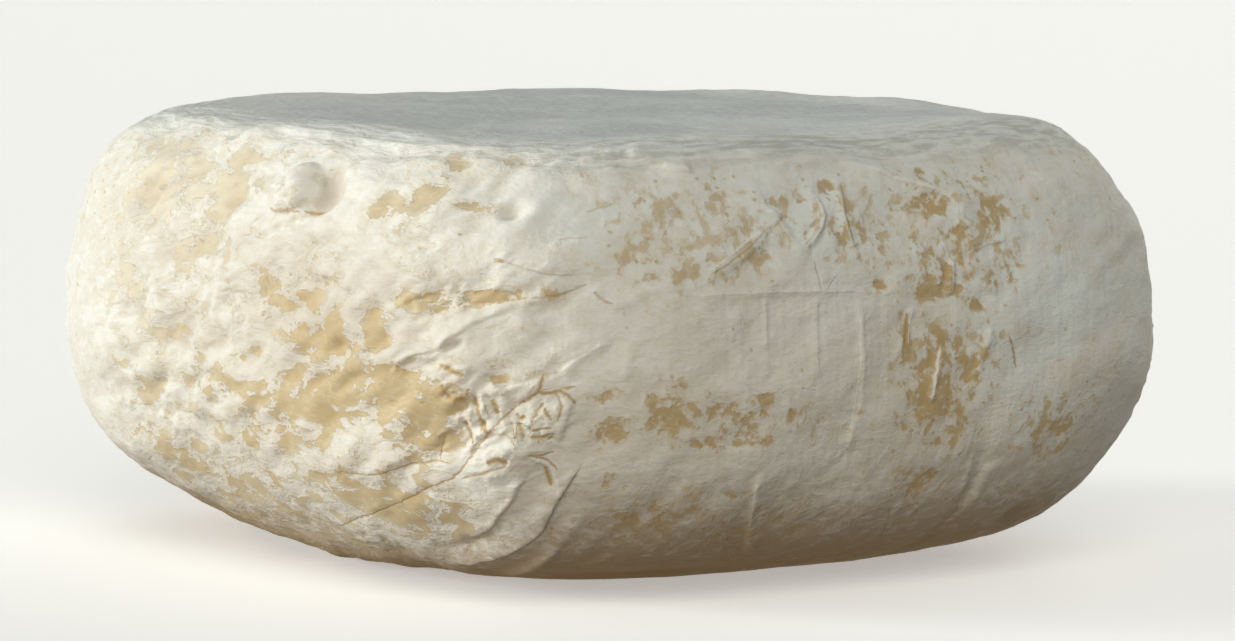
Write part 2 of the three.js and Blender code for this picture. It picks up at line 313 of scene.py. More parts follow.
# Pleats, high on one side and fading away on the other: width, rise, reach and path.
PLEATS = {
    "first sweep": (0.2, 0.5, 1.3, ((308.3, 7.4), (311, 9.2), (312.4, 11.1), (313.8, 12.8), (314.9, 14.9),
                                    (315.8, 16.1))),
    "second sweep": (0.2, 0.65, 1.8, ((304, 3.9), (311.2, 5.9), (314.2, 7.5), (316.5, 9.2), (318, 12.1),
                                      (319.2, 14.3), (320.2, 15.9), (321.2, 17.5))),
    "eye brow": (0.25, 0.4, 1.0, ((315.4, 18.6), (314.2, 20.6), (312.2, 20.9), (310.4, 19.8), (309.4, 17.6))),
    "eye lid": (0.2, 0.35, 0.8, ((314.4, 17.8), (313.4, 18.9), (312, 18.7), (311, 17.4))),
    "bundle pleat": (0.25, 0.35, 1.0, ((308.8, 20.6), (309, 22.6), (308.6, 24.4))),
    "bundle pleat two": (0.25, 0.35, 0.9, ((310, 20.8), (310.2, 22.8), (309.8, 24.8))),
    "bundle pleat three": (0.25, 0.35, 0.9, ((311.4, 21.4), (311.6, 23.2), (311.4, 25))),
    "bundle roof": (0.25, 0.45, 1.3, ((317.6, 26.4), (315.4, 25.8), (313.4, 25.2), (311.8, 26))),
    "bundle wing": (0.25, 0.4, 1.4, ((323, 30.4), (320.4, 28.6), (318.4, 27.2))),
    "bundle wall": (0.25, 0.35, 1.2, ((318.8, 19.4), (319.4, 22), (320.2, 24.6))),
    "bundle leg": (0.2, 0.35, 0.9, ((315.8, 17.6), (317.4, 16.8), (318.4, 14.6))),
    "long pleat": (0.35, 0.6, 2.2, ((307.2, 29.4), (310.5, 32), (313.8, 33.7), (317.2, 34.6), (320.2, 36))),
    "low pleat": (0.4, 0.65, 2.0, ((301.5, 26.1), (303.8, 27.9), (306.5, 28.8), (308.8, 30.3))),
    "lump ridge": (0.5, 0.55, 1.4, ((303.5, 32.3), (306, 33.3), (308.8, 34.2))),
    "lump ridge two": (0.5, 0.5, 1.2, ((305, 31.2), (307.5, 32.4), (309.5, 33.2))),
    "corner fold": (0.4, 0.3, 1.6, ((318.5, 27.8), (321, 29.1), (323.8, 30.1))),
    "corner fold two": (0.4, 0.3, 1.6, ((324.8, 25.8), (325.8, 29.6))),
    "panel edge": (0.2, 0.16, 1.6, ((330.6, 34.7), (336, 34.3), (340, 34.6), (347.5, 34.5), (354, 34.2))),
    "press one": (0.12, 0.14, 0.9, ((337.5, 26.5), (337.2, 30.5), (337, 34.1))),
    "press two": (0.12, 0.16, 0.9, ((340.6, 25), (340.5, 29.5), (340.5, 34.4))),
    "press three": (0.12, 0.14, 0.9, ((346.8, 25), (346.9, 29.5), (347, 34))),
    "bright fold": (0.3, 0.8, 1.8, ((324.4, 49.4), (327.5, 48.6), (330.2, 47.6), (332.5, 47.1))),
    "crest right": (0.4, 0.3, 1.6, ((337.2, 49.2), (345.2, 47.5), (354, 47.8), (359.2, 46.3))),
    "foot ridge": (0.25, 0.4, 1.3, ((340, 16), (340, 13.3), (340.8, 8.8), (343.5, 3.9))),
    "press four": (0.2, 0.3, 1.2, ((352.8, 34.2), (353, 22.6), (352.2, 19.4), (352, 16.4))),
    "brow line": (0.3, 0.35, 1.6, ((359, 48.9), (370, 49.2), (381, 48.9), (387, 45.2), (388, 42))),
    "brow ridge": (0.3, 0.6, 1.6, ((357, 46.9), (362.2, 45.8), (366.2, 44.7), (369.8, 43.6), (370, 41.2))),
    "strip ridge": (0.25, 0.45, 1.1, ((365.5, 28.3), (363.7, 23.6), (363.5, 21.5))),
    "strip ridge two": (0.25, 0.4, 1.1, ((372, 29.8), (371, 27), (370, 24))),
    "strip ridge three": (0.25, 0.35, 1.0, ((360.5, 32.7), (359.4, 29.6), (358.5, 27.1))),
    "star fold": (0.3, 0.25, 1.4, ((367.5, 37.5), (372, 38.4), (380, 39.2))),
    "star fold two": (0.2, 0.35, 1.4, ((367.5, 37.5), (370.6, 35), (374, 32.4))),
    "star fold three": (0.2, 0.35, 1.2, ((367.5, 37.5), (366.4, 35.2), (366.2, 32.8))),
    "foot arc": (0.35, 0.35, 1.8, ((375, 14.6), (375.8, 10.6), (376.5, 7.8), (376.8, 4.7))),
    "foot arc two": (0.35, 0.25, 1.4, ((371.5, 15.8), (373.2, 10))),
    "crest far": (0.4, 0.35, 1.8, ((379.8, 48.8), (383.2, 47.4), (386.3, 44.7), (386.8, 42.9))),
    "cheek ridge": (0.5, 0.4, 1.8, ((258.2, 20.7), (259.5, 17.2), (263, 14.9), (268, 14.1))),
    "streak one": (0.4, 0.2, 1.2, ((236.2, 40.4), (249.3, 44.2), (258.2, 47.6))),
    "streak two": (0.4, 0.2, 1.2, ((241.5, 39), (252, 41.6), (260.2, 44.9))),
    "heel streak": (0.5, 0.25, 1.6, ((249.5, 16.8), (255.2, 12.7), (258, 7.7))),
    "heel streak two": (0.5, 0.25, 1.6, ((253.8, 17.7), (261.2, 13.9), (266.8, 9.8))),
}

# Patches where the bloom has worn off: angle, height, half sizes along and up the side, and strength.
LIT_SIDE_WEAR = {
    "shoulder veil": (253.0, 42.9, 14.5, 6.7, 0.55),
    "shoulder tan": (267.5, 43.6, 4.7, 4.5, 0.66),
    "temple veil": (265.0, 37.0, 9.8, 3.6, 0.52),
    "cheek veil": (251.0, 33.3, 8.4, 6.5, 0.4),
    "cheek specks": (257.8, 26.1, 10.1, 5.1, 0.36),
    "upper dense": (282.5, 32.9, 8.0, 3.1, 0.55),
    "dense": (291.2, 29.0, 6.3, 2.8, 0.7),
    "wing": (299.0, 30.0, 2.0, 2.3, 0.75),
    "mid band": (276.5, 21.9, 11.8, 1.7, 0.68),
    "mid dense": (292.5, 22.2, 9.4, 4.3, 0.62),
    "big bare": (304.2, 21.5, 6.6, 4.7, 0.82),
    "neck": (301.0, 25.1, 3.1, 1.9, 0.8),
    "low dense": (278.5, 16.8, 13.7, 6.0, 0.47),
    "low mix": (291.2, 13.6, 11.5, 5.9, 0.52),
    "low right": (299.8, 10.5, 8.7, 4.2, 0.62),
    "low spots": (280.8, 8.3, 10.7, 7.0, 0.4),
    "heel mottle": (254.7, 13.3, 10.4, 10.1, 0.42),
    "heel brown": (264.2, 7.1, 12.3, 9.3, 0.4),
    "left dab": (269.5, 22.6, 2.9, 1.1, 0.6),
    "left dab two": (254.5, 19.6, 3.3, 1.6, 0.45),
    "blister skin": (283.4, 44.2, 1.7, 2.4, 0.3),
    "arch foot": (298.5, 43.5, 2.2, 1.2, 0.75),
    "arch": (303.5, 44.9, 2.2, 2.3, 0.7),
    "arc": (308.5, 44.2, 2.6, 0.7, 0.6),
    "speckle": (302.5, 40.7, 3.8, 2.5, 0.36),
    "crest spot": (306.0, 48.6, 1.7, 1.4, 0.5),
    "crest spot two": (312.2, 49.0, 2.9, 0.9, 0.45),
    "brown hollow": (291.0, 34.8, 3.4, 0.7, 0.62),
    "face streak": (305.0, 33.8, 4.4, 1.0, 0.46),
    "face streak two": (312.2, 35.0, 4.8, 0.9, 0.5),
    "face dab": (316.8, 35.5, 1.7, 0.8, 0.5),
    "bundle left": (308.2, 25.1, 1.6, 1.0, 0.55),
    "bundle smear": (312.4, 26.0, 1.7, 0.6, 0.7),
    "bundle top": (312.5, 27.4, 1.4, 1.0, 0.55),
    "bundle dab": (310.5, 23.2, 1.0, 2.1, 0.5),
    "bundle right": (317.0, 26.5, 2.3, 1.3, 0.5),
}
SHADED_SIDE_WEAR = {
    "band": (330.5, 41.9, 9.9, 4.8, 0.48),
    "band tan": (329.5, 43.8, 3.4, 2.0, 0.66),
    "band blob": (334.5, 44.6, 1.6, 1.7, 0.75),
    "band slant": (337.0, 41.9, 2.0, 1.1, 0.75),
    "band low": (327.2, 39.3, 3.8, 1.1, 0.66),
    "band left": (327.8, 42.8, 1.8, 1.3, 0.64),
    "band chain": (329.5, 36.9, 3.0, 0.7, 0.68),
    "band spot": (339.5, 38.7, 1.5, 0.7, 0.65),
    "band arm": (343.8, 44.2, 2.9, 0.8, 0.6),
    "band end": (350.2, 45.3, 1.0, 0.8, 0.7),
    "fleck field": (354.2, 41.0, 7.0, 5.4, 0.38),
    "fleck a": (356.2, 34.9, 1.7, 0.8, 0.65),
    "fleck b": (351.2, 39.8, 0.8, 1.3, 0.5),
    "row left": (322.8, 24.5, 1.7, 0.8, 0.62),
    "row left low": (324.0, 20.3, 2.1, 1.4, 0.6),
    "row big": (329.2, 22.8, 1.8, 2.1, 0.85),
    "row two": (335.0, 23.0, 1.5, 0.8, 0.75),
    "row three": (339.8, 23.2, 1.7, 1.0, 0.75),
    "row four": (343.2, 21.3, 1.5, 0.7, 0.75),
    "row field": (336.8, 21.3, 9.5, 2.6, 0.46),
    "row under": (331.8, 19.0, 4.5, 0.5, 0.62),
    "row under two": (339.2, 18.8, 3.7, 0.5, 0.62),
    "row dots": (350.2, 21.1, 3.9, 0.4, 0.55),
    "cluster": (8.5, 39.0, 8.5, 7.2, 0.44),
    "cluster roof": (6.0, 43.1, 3.5, 1.3, 0.7),
    "cluster peak": (15.0, 41.9, 2.2, 1.6, 0.75),
    "cluster mid": (8.8, 40.1, 2.6, 1.4, 0.6),
    "cluster big": (4.0, 34.5, 3.6, 1.5, 0.85),
    "cluster up": (5.5, 36.4, 2.0, 1.1, 0.6),
    "cluster right": (14.8, 35.1, 3.3, 1.9, 0.55),
    "cluster low": (10.2, 32.3, 1.7, 0.9, 0.7),
    "cluster spot": (6.0, 46.2, 1.2, 0.9, 0.65),
    "strip field": (5.8, 22.4, 6.6, 9.0, 0.5),
    "strip one": (0.0, 29.5, 0.9, 2.5, 0.82),
    "strip two": (4.2, 27.3, 1.6, 2.5, 0.90),
    "strip three": (1.8, 22.8, 1.8, 2.5, 0.90),
    "strip four": (5.5, 22.6, 1.5, 2.2, 0.90),
    "strip five": (9.8, 23.2, 1.2, 2.7, 0.70),
    "strip six": (4.5, 20.5, 2.6, 1.4, 0.82),
    "strip dash": (4.5, 17.3, 2.0, 0.6, 0.75),
    "strip foot": (5.8, 13.1, 3.8, 2.2, 0.5),
    "far mottle": (24.8, 17.2, 8.5, 4.0, 0.46),
    "far edge": (40.0, 50.2, 7.5, 6.4, 0.42),
    "far specks": (21.0, 37.5, 6.4, 5.8, 0.16),
    "low smudge": (324.0, 15.1, 2.4, 1.3, 0.4),
    "foot mottle": (327.2, 10.1, 6.8, 4.2, 0.46),
    "foot mottle two": (340.0, 8.2, 8.3, 4.0, 0.42),
    "low dash": (337.8, 13.0, 1.9, 0.7, 0.55),
}

# Patches where the bloom lies thick and whole, in the same order of values.
WHOLE_BLOOM = {
    "panel": (342.0, 29.8, 12.0, 4.2, 0.12),
    "corner shoulder": (316.0, 44.5, 6.0, 4.0, 0.14),
    "face white": (285.0, 45.0, 9.0, 3.6, 0.12),
    "far side": (24.0, 33.0, 5.0, 9.0, 0.1),
    "lower panel": (346.0, 15.0, 9.0, 3.0, 0.1),
    "bundle": (310.6, 21.8, 2.8, 4.6, 0.32),
}

# Places where the bloom is darker and duller, in the same order of values; partly duller bloom and partly
# painted shade where less light falls, laid on with the painted shade of the dents.
DULL_AND_SHADED_BLOOM = {
    "face": (298.0, 29.5, 12.0, 7.5, 0.75),
    "mid face": (289.0, 30.5, 12.0, 7.0, 0.95),
    "low face": (283.0, 16.0, 20.0, 8.0, 0.55),
    "heel": (258.0, 11.0, 13.0, 6.0, 0.55),
    "row": (334.0, 21.0, 13.0, 4.0, 0.4),
    "shaded foot": (338.0, 9.0, 26.0, 6.5, 0.45),
    "strip": (5.0, 22.0, 9.0, 10.0, 0.7),
    "cluster": (12.0, 37.0, 13.0, 8.0, 0.22),
    "far": (26.0, 32.0, 14.0, 12.0, 0.4),
    "far foot": (24.0, 12.0, 18.0, 8.0, 0.55),
    "panel": (341.0, 29.0, 10.0, 4.0, 0.28),
}

# Places where the bloom is cool, in the same order of values.
COOL_BLOOM = {
    "corner": (322.0, 43.0, 8.0, 5.0, 0.7),
    "fan": (349.0, 42.0, 14.0, 6.0, 0.9),
    "cluster": (8.0, 40.0, 10.0, 8.0, 0.7),
    "far": (24.0, 33.0, 14.0, 12.0, 1.0),
    "back": (60.0, 32.0, 24.0, 16.0, 0.7),
    "left side": (180.0, 32.0, 40.0, 16.0, 0.5),
}

# Places where the bared paste stays pale, in the same order of values. On the upper left and the cheek, where
# the key light falls strongest, the paleness is partly painted light.
PALE_PASTE = {
    "upper left": (250.0, 41.0, 18.0, 8.0, 1.0),
    "cheek": (250.0, 31.0, 14.0, 7.0, 0.8),
    "arch": (302.0, 42.0, 5.0, 4.0, 0.35),
    "band": (332.0, 42.0, 10.0, 4.5, 0.45),
}

# Seeded wear, creases and pleats of the two far sides: how many, and the ranges that they are drawn from.
FAR_SEED = 7
FAR_FROM = 50.0
FAR_SPAN = 170.0
FAR_WEAR_COUNT = 60
FAR_WEAR_HEIGHTS = (7, 47)
FAR_WEAR_WIDTHS = (1.2, 6.0)
FAR_WEAR_SHARES = (0.35, 0.8)
FAR_WEAR_STRENGTHS = (0.4, 0.75)
FAR_FLECK_COUNT = 90
FAR_FLECK_HEIGHTS = (5, 48)
FAR_FLECK_WIDTHS = (0.6, 1.8)
FAR_FLECK_SHARES = (0.5, 1.3)
FAR_FLECK_STRENGTHS = (0.5, 0.75)

# Widths, depths and stains of the far creases, and widths, rises and reaches of the far pleats.
FAR_CREASE_COUNT = 30
FAR_CREASE_RANGES = ((0.06, 0.2), (0.15, 0.35), (0.1, 0.8))
FAR_PLEAT_COUNT = 34
FAR_PLEAT_RANGES = ((0.2, 0.4), (0.25, 0.6), (1.0, 2.0))

# Paths of the far creases and pleats, most of them near level and the others steep.
FAR_PATH_HEIGHTS = (8, 46)
FAR_LEVEL_SHARE = 0.7
FAR_LEVEL_HEADINGS = (-0.9, 0.9)
FAR_STEEP_HEADINGS = (1.0, 2.1)
FAR_PATH_LENGTHS = (3, 12)
FAR_PATH_BENDS = (-2.5, 2.5)
FAR_PATH_STRAYS = (-0.5, 0.5)
FAR_PATH_SHARES = (-0.5, -0.25, 0.0, 0.25, 0.5)
FAR_PATH_LOW = 3
FAR_PATH_HIGH = 49

# Cloudy noise: where each seed starts, and how its octaves weaken and shrink.
NOISE_SHIFT = (13.7, 7.1, 3.3)
NOISE_FALL = 0.85
NOISE_STEP = 2.1

# Sides with the most lumps: angle of the middle and half spread in degrees, and the share of it that is full.
LUMPY_SIDES = ((279.0, 46.0), (92.0, 48.0))
LUMPY_CORE = 0.55
LUMPS_FROM = (9.0, 22.0)
LUMPS_END = (CREST_Z - 2.0, CREST_Z + 0.2)
TOP_EDGE = (CREST_Z - 1.5, CREST_Z + 0.4)
TOP_CALM = 0.5

# Lumps, ripples and dimples: length, stretch, seed and octaves of the noise, and plain and lumpy rise.
LUMP_NOISE = (7.0, 0.6, 1, 2)
LUMP_RISE = 0.14
LUMPY_RISE = 0.38
RIPPLE_NOISE = (3.0, 0.45, 2, 3)
RIPPLE_LEVEL = 0.8
RIPPLE_RISE = 0.05
RIPPLY_RISE = 0.24
RIPPLE_SLANT = 0.35
DIMPLE_NOISE = (2.6, 0.75, 4, 2)
DIMPLE_RISE = 0.1
DIMPLE_SHARE = 0.3

# Bloom: noise and drift of its patches, and how wear turns into a level that bares the paste above zero.
PATCH_NOISE = (6.0, 0.6, 3, 3)
PATCH_SHARE = 0.07
DRIFT_SEED = 5
DRIFT_LENGTH = 9.0
DRIFT = 2.4
BARE_FROM = 0.63
BAREST = 0.2
WEAR_SHARE = 1.36
HOLLOW_SHARE = 0.045
# Depths of the dents at which their painted shade starts and is full.
SHADED_DENT_DEPTHS = (0.15, 1.0)
BLOOM_THICKNESS = 0.12
BLOOM_EDGE = (-0.05, 0.35)

# Heights that the darker brown of the foot fades between, on the lit and on the shaded sides; partly brown
# rind and partly painted shade towards the foot.
DUSK_FROM = 0.5
DUSK_LIT = 11.0
DUSK_SHADED = 18.5

# Crumpled spots: angle, height, half sizes, rise and size of the facets.
CRUMPLES = {
    "corner bundle": (314.6, 21.0, 6.5, 7.0, 0.22, 1.5),
    "shaded fan": (344.0, 42.0, 9.0, 5.0, 0.35, 3.4),
    "star": (9.5, 36.5, 8.0, 6.5, 0.35, 3.4),
    "left corner": (226.0, 22.0, 6.0, 8.0, 0.4, 2.2),
    "right corner": (47.0, 22.0, 6.0, 9.0, 0.4, 2.2),
    "far corner": (136.0, 20.0, 6.0, 8.0, 0.4, 2.2),
}

# Fine wrinkles along the crest and over the brow, and the ranges that they are drawn from.
WRINKLE_SEED = 11
WRINKLE_COUNT = 110
WRINKLE_LENGTHS = (5, 14)
WRINKLE_PLACES = (CREST_HALF - 8, CREST_HALF + 4.5)
WRINKLE_SLANTS = (-0.05, 0.05)
WRINKLE_WIDTHS = (0.35, 0.8)
WRINKLE_RISES = (-0.2, 0.2)
WRINKLES_FROM = (CREST_Z - 4.5, CREST_Z - 2.5)

# Noises of the finish: scale, detail and roughness.
STIR_NOISE = (0.3, 2.0, 0.5)
ISLAND_NOISE = (0.48, 6.0, 0.63)
FLECK_NOISE = (0.8, 5.0, 0.58)
GRAIN_NOISE = (2.2, 3.0, 0.6)
CLOUD_NOISE = (0.14, 3.0, 0.6)
FROST_NOISE = (1.1, 5.0, 0.62)
CHILL_NOISE = (0.16, 4.0, 0.62)
VEIN_NOISE = (1.5, 5.0, 0.68)
STREAK_NOISE = (1.0, 3.0, 0.6)
CURD_NOISE = (0.05, 2.0, 0.5)
POWDER_NOISE = (0.55, 5.0, 0.66)
BRUSH_NOISE = (0.9, 1.0, 0.6)
DOT_SCALE = 1.0
HOLE_SCALE = 0.55

# Middle of the noises, and how the places that they read are stretched and stirred.
NOISE_MIDDLE = (0.5, 0.5, 0.5)
FLAT_STRETCH = (0.5, 0.5, 1.0)
SWIRL_STIR = 2.5
ROUND_SCALE = 0.8
ROUND_STIR = 1.5
STREAK_STRETCH = (0.22, 0.22, 0.0)
STREAK_CLIMB = 0.8
BRUSH_STRETCH = (1.0, 1.0, 0.07)

# How far a noise swings a value to both sides.
COAST_SWING = 3.2
LINE_SWING = 0.5
DULL_SWING = 0.8
THIN_SWING = 2.2
DEEP_SWING = 0.8
POWDER_SWING = 0.8
TOP_CLOUD_SWING = 16.0
TOP_STREAK_SWING = 10.0

# Lines of the creases: width in half strokes, soft edge, and half strokes that start to show and show fully.
STROKE_SPREAD = 1.5
STROKE_EDGE = 0.04
STROKE_SHOWS = (0.005, 0.05)

# Where each look of the finish starts and where it is full.
BARE_LEVELS = (-0.015, 0.02)
PUFF_LEVELS = (-0.35, 0.02)
SHORE_LEVELS = (-0.13, -0.04)
SHORE_FROST = (0.4, 0.55)
DULL_CLOUDS = (0.38, 0.64)
THIN_LEVELS = (-0.52, -0.2)
CHILL_CLOUDS = (0.34, 0.56)
DEEP_LEVELS = (-0.5, 0.05)
PALE_VEINS = (0.46, 0.66)
BROWN_FROST = (0.5, 0.72)
STAIN_GRAIN = (0.25, 0.42)
DOT_WEAR = (-0.66, -0.1)
DOT_CELLS = (0.84, 0.88)
DOT_EDGE = (0.1, 0.26)
HOLE_CELLS = (0.62, 0.66)
HOLE_EDGE = (0.04, 0.12)
SMUDGE_FROST = (0.42, 0.82)
CREST_START = (-3.0, 3.0)
CREST_STOP = (8.0, 16.0)
CREST_STREAKS = (0.38, 0.62)
CREST_VEINS = (0.58, 0.68)
CROWN_CURDS = (0.34, 0.66)
CROWN_CLIMB = (5.0, 16.0)

# Shares of the looks in the colour, among them the painted shade of dents and dull places, the painted
# highlights of shores and ridges and the top's partly painted grey, and what they lose or gain on flecked,
# hollow and pale places.
FLECK_SOFT = 0.24
THIN_SHARE = 0.85
THIN_FLECK_LOSS = 0.4
HOLLOW_SHADE_SHARE = 0.88
SHORE_HIGHLIGHT_SHARE = 0.75
SHORE_HIGHLIGHT_LOSS = 0.5
FLECK_BROWN = 0.8
VEIN_SHARE = 0.5
BROWN_SHARE = 0.4
HOLLOW_SHADE_BROWN = 0.35
PALE_SHOWING = 0.6
DEPTH_SHOWING = 0.4
DOT_WEAR_SHARE = -0.4
DOT_SHARE = 0.6
HOLE_SHARE = 0.6
STAIN_SHARE = 0.95
RIDGE_HIGHLIGHT = 0.9
SMUDGE_DUSK = 0.4
CREST_VEIN_SHARE = 0.5
CREST_SHARE = 0.3
CREST_FLECK_SHARE = 0.5
TOP_GREY_AND_SHADE_SHARE = 0.92

# Heights of the finish's bump, in millimetres.
PUFF_HEIGHT = 0.06
COVER_HEIGHT = 0.03
FROST_DEPTH = 0.26
FROST_FLECK_LOSS = 0.08
GRAIN_HEIGHT = 0.07
STREAK_HEIGHT = 0.3
BRUSH_HEIGHT = 0.1
HOLE_HEIGHT = -0.05
GROOVE_HEIGHT = -0.05
RIDGE_HEIGHT = 0.05

# How the rind takes light: roughness of bloom and how much smoother paste is, glow from within, and shine.
BLOOM_ROUGHNESS = 0.9
PASTE_SMOOTHER = 0.3
GLOW_WEIGHT = 0.12
GLOW_RADIUS = (1.0, 0.75, 0.45)
GLOW_DEPTH = 1.5 * MILLIMETRE
SHINE = 0.2

# Sockets of the node that mixes colours.
MIX_FACTOR = 0
MIX_FIRST = 6
MIX_SECOND = 7
MIX_RESULT = 2

# Camera, set by the photograph's view of the object.
CAMERA_AROUND = 52.78
CAMERA_DISTANCE = 0.5557
CAMERA_HEIGHT = 0.0787
CAMERA_PAN = 0.18
CAMERA_TILT = -5.42
CAMERA_ROLL = 1.09
CAMERA_LENS = 138.1
CAMERA_NEAR = 0.01
SENSOR_WIDTH = 36.0

# Floor.
FLOOR_HALF = 8.0
FLOOR_GLOW = 0.42
FLOOR_ROUGHNESS = 0.9

# Direction round the object, height angle and spread of each light.
KEY_LIGHT = (234.0, 9.0, 22.0)
FILL_LIGHT = (332.0, 38.0, 50.0)
BOUNCE_LIGHT = (284.0, -36.0, 110.0)
BACK_LIGHT = (120.0, 4.0, 60.0)


def smooth(value, low, high):
    """Zero below low, one above high, and an easy change between."""
    share = np.clip((value - low) / (high - low), 0, 1)
    return share * share * (3 - 2 * share)


def bezier(*handles):
    """A dense curve from the first handle to the last."""
    rows = [np.tile(np.array(h, float), (CURVE_SAMPLES + 1, 1)) for h in handles]
    share = np.linspace(0, 1, CURVE_SAMPLES + 1)[:, None]
    while len(rows) > 1:
        rows = [a + (b - a) * share for a, b in zip(rows, rows[1:])]
    return rows[0]


def even_points(curve, steps):
    """Points along a dense curve, the same distance apart."""
    lengths = np.concatenate([[0], np.cumsum(np.linalg.norm(np.diff(curve, axis=0), axis=1))])
    stops = np.linspace(0, lengths[-1], steps + 1)
    return np.column_stack([np.interp(stops, lengths, column) for column in curve.T])


LOWER_CURVE = bezier(
    (FOOT_HALF, 0),
    (FOOT_HALF + FOOT_PULL, 0),
    (BELLY_HALF, BELLY_Z - BELLY_PULL_DOWN),
    (BELLY_HALF, BELLY_Z),
)
UPPER_CURVE = bezier(
    (BELLY_HALF, BELLY_Z),
    (BELLY_HALF, BELLY_Z + BELLY_PULL_UP),
    (BELLY_HALF, CREST_Z - SHOULDER_DROP),
    (CREST_HALF, CREST_Z),
)
CROWN_CURVE = bezier((CREST_HALF, CREST_Z), ((CREST_HALF + BROW_HALF) / 2, BROW_Z), (BROW_HALF, BROW_Z))
TOP_CURVE = bezier((BROW_HALF, BROW_Z), (BROW_HALF / 2, BROW_Z), (0, TOP_MIDDLE_Z))
FOOT_CURVE = bezier((0, 0), (FOOT_HALF, 0))
SIDE_CURVE = np.concatenate([LOWER_CURVE, UPPER_CURVE[1:]])


def section_points():
    """Half section from the middle of the foot to the middle of the top, as half widths and heights."""
    parts = (
        (FOOT_CURVE, FOOT_STEPS),
        (LOWER_CURVE, LOWER_STEPS),
        (UPPER_CURVE, UPPER_STEPS),
        (CROWN_CURVE, CROWN_STEPS),
        (TOP_CURVE, TOP_STEPS),
    )
    points = [FOOT_CURVE[:1]]
    for curve, steps in parts:
        points.append(even_points(curve, steps)[1:])
    return np.concatenate(points)


def side_half(z):
    """Half width of the section at a height on the side."""
    return np.interp(z, SIDE_CURVE[:, 1], SIDE_CURVE[:, 0])


def body_points(angle, half, z):
    """Points of the plain squared body, from angles in radians, half widths and heights."""
    rising = BELLY_SQUARE + (CREST_SQUARE - BELLY_SQUARE) * (z - BELLY_Z) / (BROW_Z - BELLY_Z)
    falling = FOOT_SQUARE + (BELLY_SQUARE - FOOT_SQUARE) * z / BELLY_Z
    square = np.where(z < BELLY_Z, falling, rising)
    across = np.abs(np.cos(angle)) ** square
    along = np.abs(np.sin(angle)) ** square
    reach = half * (across + along) ** (-1 / square)
    x = reach * np.cos(angle)
    y = reach * np.sin(angle)
    lean = math.radians(LEAN_TOWARDS)
    lifted = z + (z / CREST_Z) * LEAN * (x * math.cos(lean) + y * math.sin(lean))
    return np.column_stack([x, y, lifted])


def side_points(degrees, z):
    """Points on the side of the plain body, from angles in degrees and heights."""
    degrees = np.atleast_1d(np.asarray(degrees, float))
    z = np.atleast_1d(np.asarray(z, float))
    return body_points(np.radians(degrees), side_half(z), z)


def flowing(path):
    """Angles and heights along a smooth line through the corners of a path, close together."""
    corners = np.array(path, float)
    padded = np.concatenate([[2 * corners[0] - corners[1]], corners, [2 * corners[-1] - corners[-2]]])
    share = np.linspace(0, 1, PATH_SAMPLES, endpoint=False)[:, None]
    spans = []
    for before, start, end, after in zip(padded, padded[1:], padded[2:], padded[3:]):
        bend = 2 * before - 5 * start + 4 * end - after
        twist = 3 * (start - end) + after - before
        spans.append(start + share * ((end - before) + share * (bend + share * twist)) / 2)
    line = np.concatenate(spans + [corners[-1:]])
    length = np.linalg.norm(np.diff(line * (DEGREE_LENGTH, 1), axis=0), axis=1).sum()
    return even_points(line, max(LEAST_STEPS, int(length / LINE_STEP)))


def far_angle(rng):
    """An angle on the sides that the photograph doesn't show."""
    return FAR_FROM + FAR_SPAN * rng.random()


def far_paths(rng, count):
    """Wavy paths over the sides that the photograph doesn't show."""
    paths = []
    for _ in range(count):
        angle = far_angle(rng)
        height = rng.uniform(*FAR_PATH_HEIGHTS)
        headings = FAR_LEVEL_HEADINGS if rng.random() < FAR_LEVEL_SHARE else FAR_STEEP_HEADINGS
        heading = rng.uniform(*headings)
        length = rng.uniform(*FAR_PATH_LENGTHS)
        bend = rng.uniform(*FAR_PATH_BENDS)
        path = []
        for share in FAR_PATH_SHARES:
            stray = bend * (1 - 4 * share * share) + rng.uniform(*FAR_PATH_STRAYS)
            along = share * length
            angle_here = angle + along * math.cos(heading) - stray * math.sin(heading)
            height_here = height + along * math.sin(heading) + stray * math.cos(heading)
            path.append((angle_here, min(max(height_here, FAR_PATH_LOW), FAR_PATH_HIGH)))
        paths.append(tuple(path))
    return paths


def far_lines(rng, count, ranges):
    """Creases or pleats of the sides that the photograph doesn't show, each value drawn from its range."""
    return [(*(rng.uniform(*limits) for limits in ranges), path) for path in far_paths(rng, count)]


def far_wear(rng):
    """Worn patches and small flecks of the sides that the photograph doesn't show."""
    patches = []
    for _ in range(FAR_WEAR_COUNT):
        angle = far_angle(rng)
        height = rng.uniform(*FAR_WEAR_HEIGHTS)
        wide = rng.uniform(*FAR_WEAR_WIDTHS)
        tall = wide * rng.uniform(*FAR_WEAR_SHARES)
        patches.append((angle, height, wide, tall, rng.uniform(*FAR_WEAR_STRENGTHS)))
    for _ in range(FAR_FLECK_COUNT):
        angle = far_angle(rng)
        wide = rng.uniform(*FAR_FLECK_WIDTHS)
        height = rng.uniform(*FAR_FLECK_HEIGHTS)
        tall = wide * rng.uniform(*FAR_FLECK_SHARES)
        patches.append((angle, height, wide, tall, rng.uniform(*FAR_FLECK_STRENGTHS)))
    return patches


def turned_body():
    """The section turned round the upright axis, with its seam and poles closed."""
    body = bmesh.new()
    verts = [body.verts.new((half, 0, z)) for half, z in section_points()]
    edges = [body.edges.new(pair) for pair in zip(verts, verts[1:])]
    bmesh.ops.spin(
        body,
        geom=verts + edges,
        cent=(0, 0, 0),
        axis=(0, 0, 1),
        angle=2 * math.pi,
        steps=SECTORS,
        use_merge=True,
    )
    bmesh.ops.remove_doubles(body, verts=body.verts, dist=POLE_GAP)
    bmesh.ops.recalc_face_normals(body, faces=body.faces)
    return in_order(body)


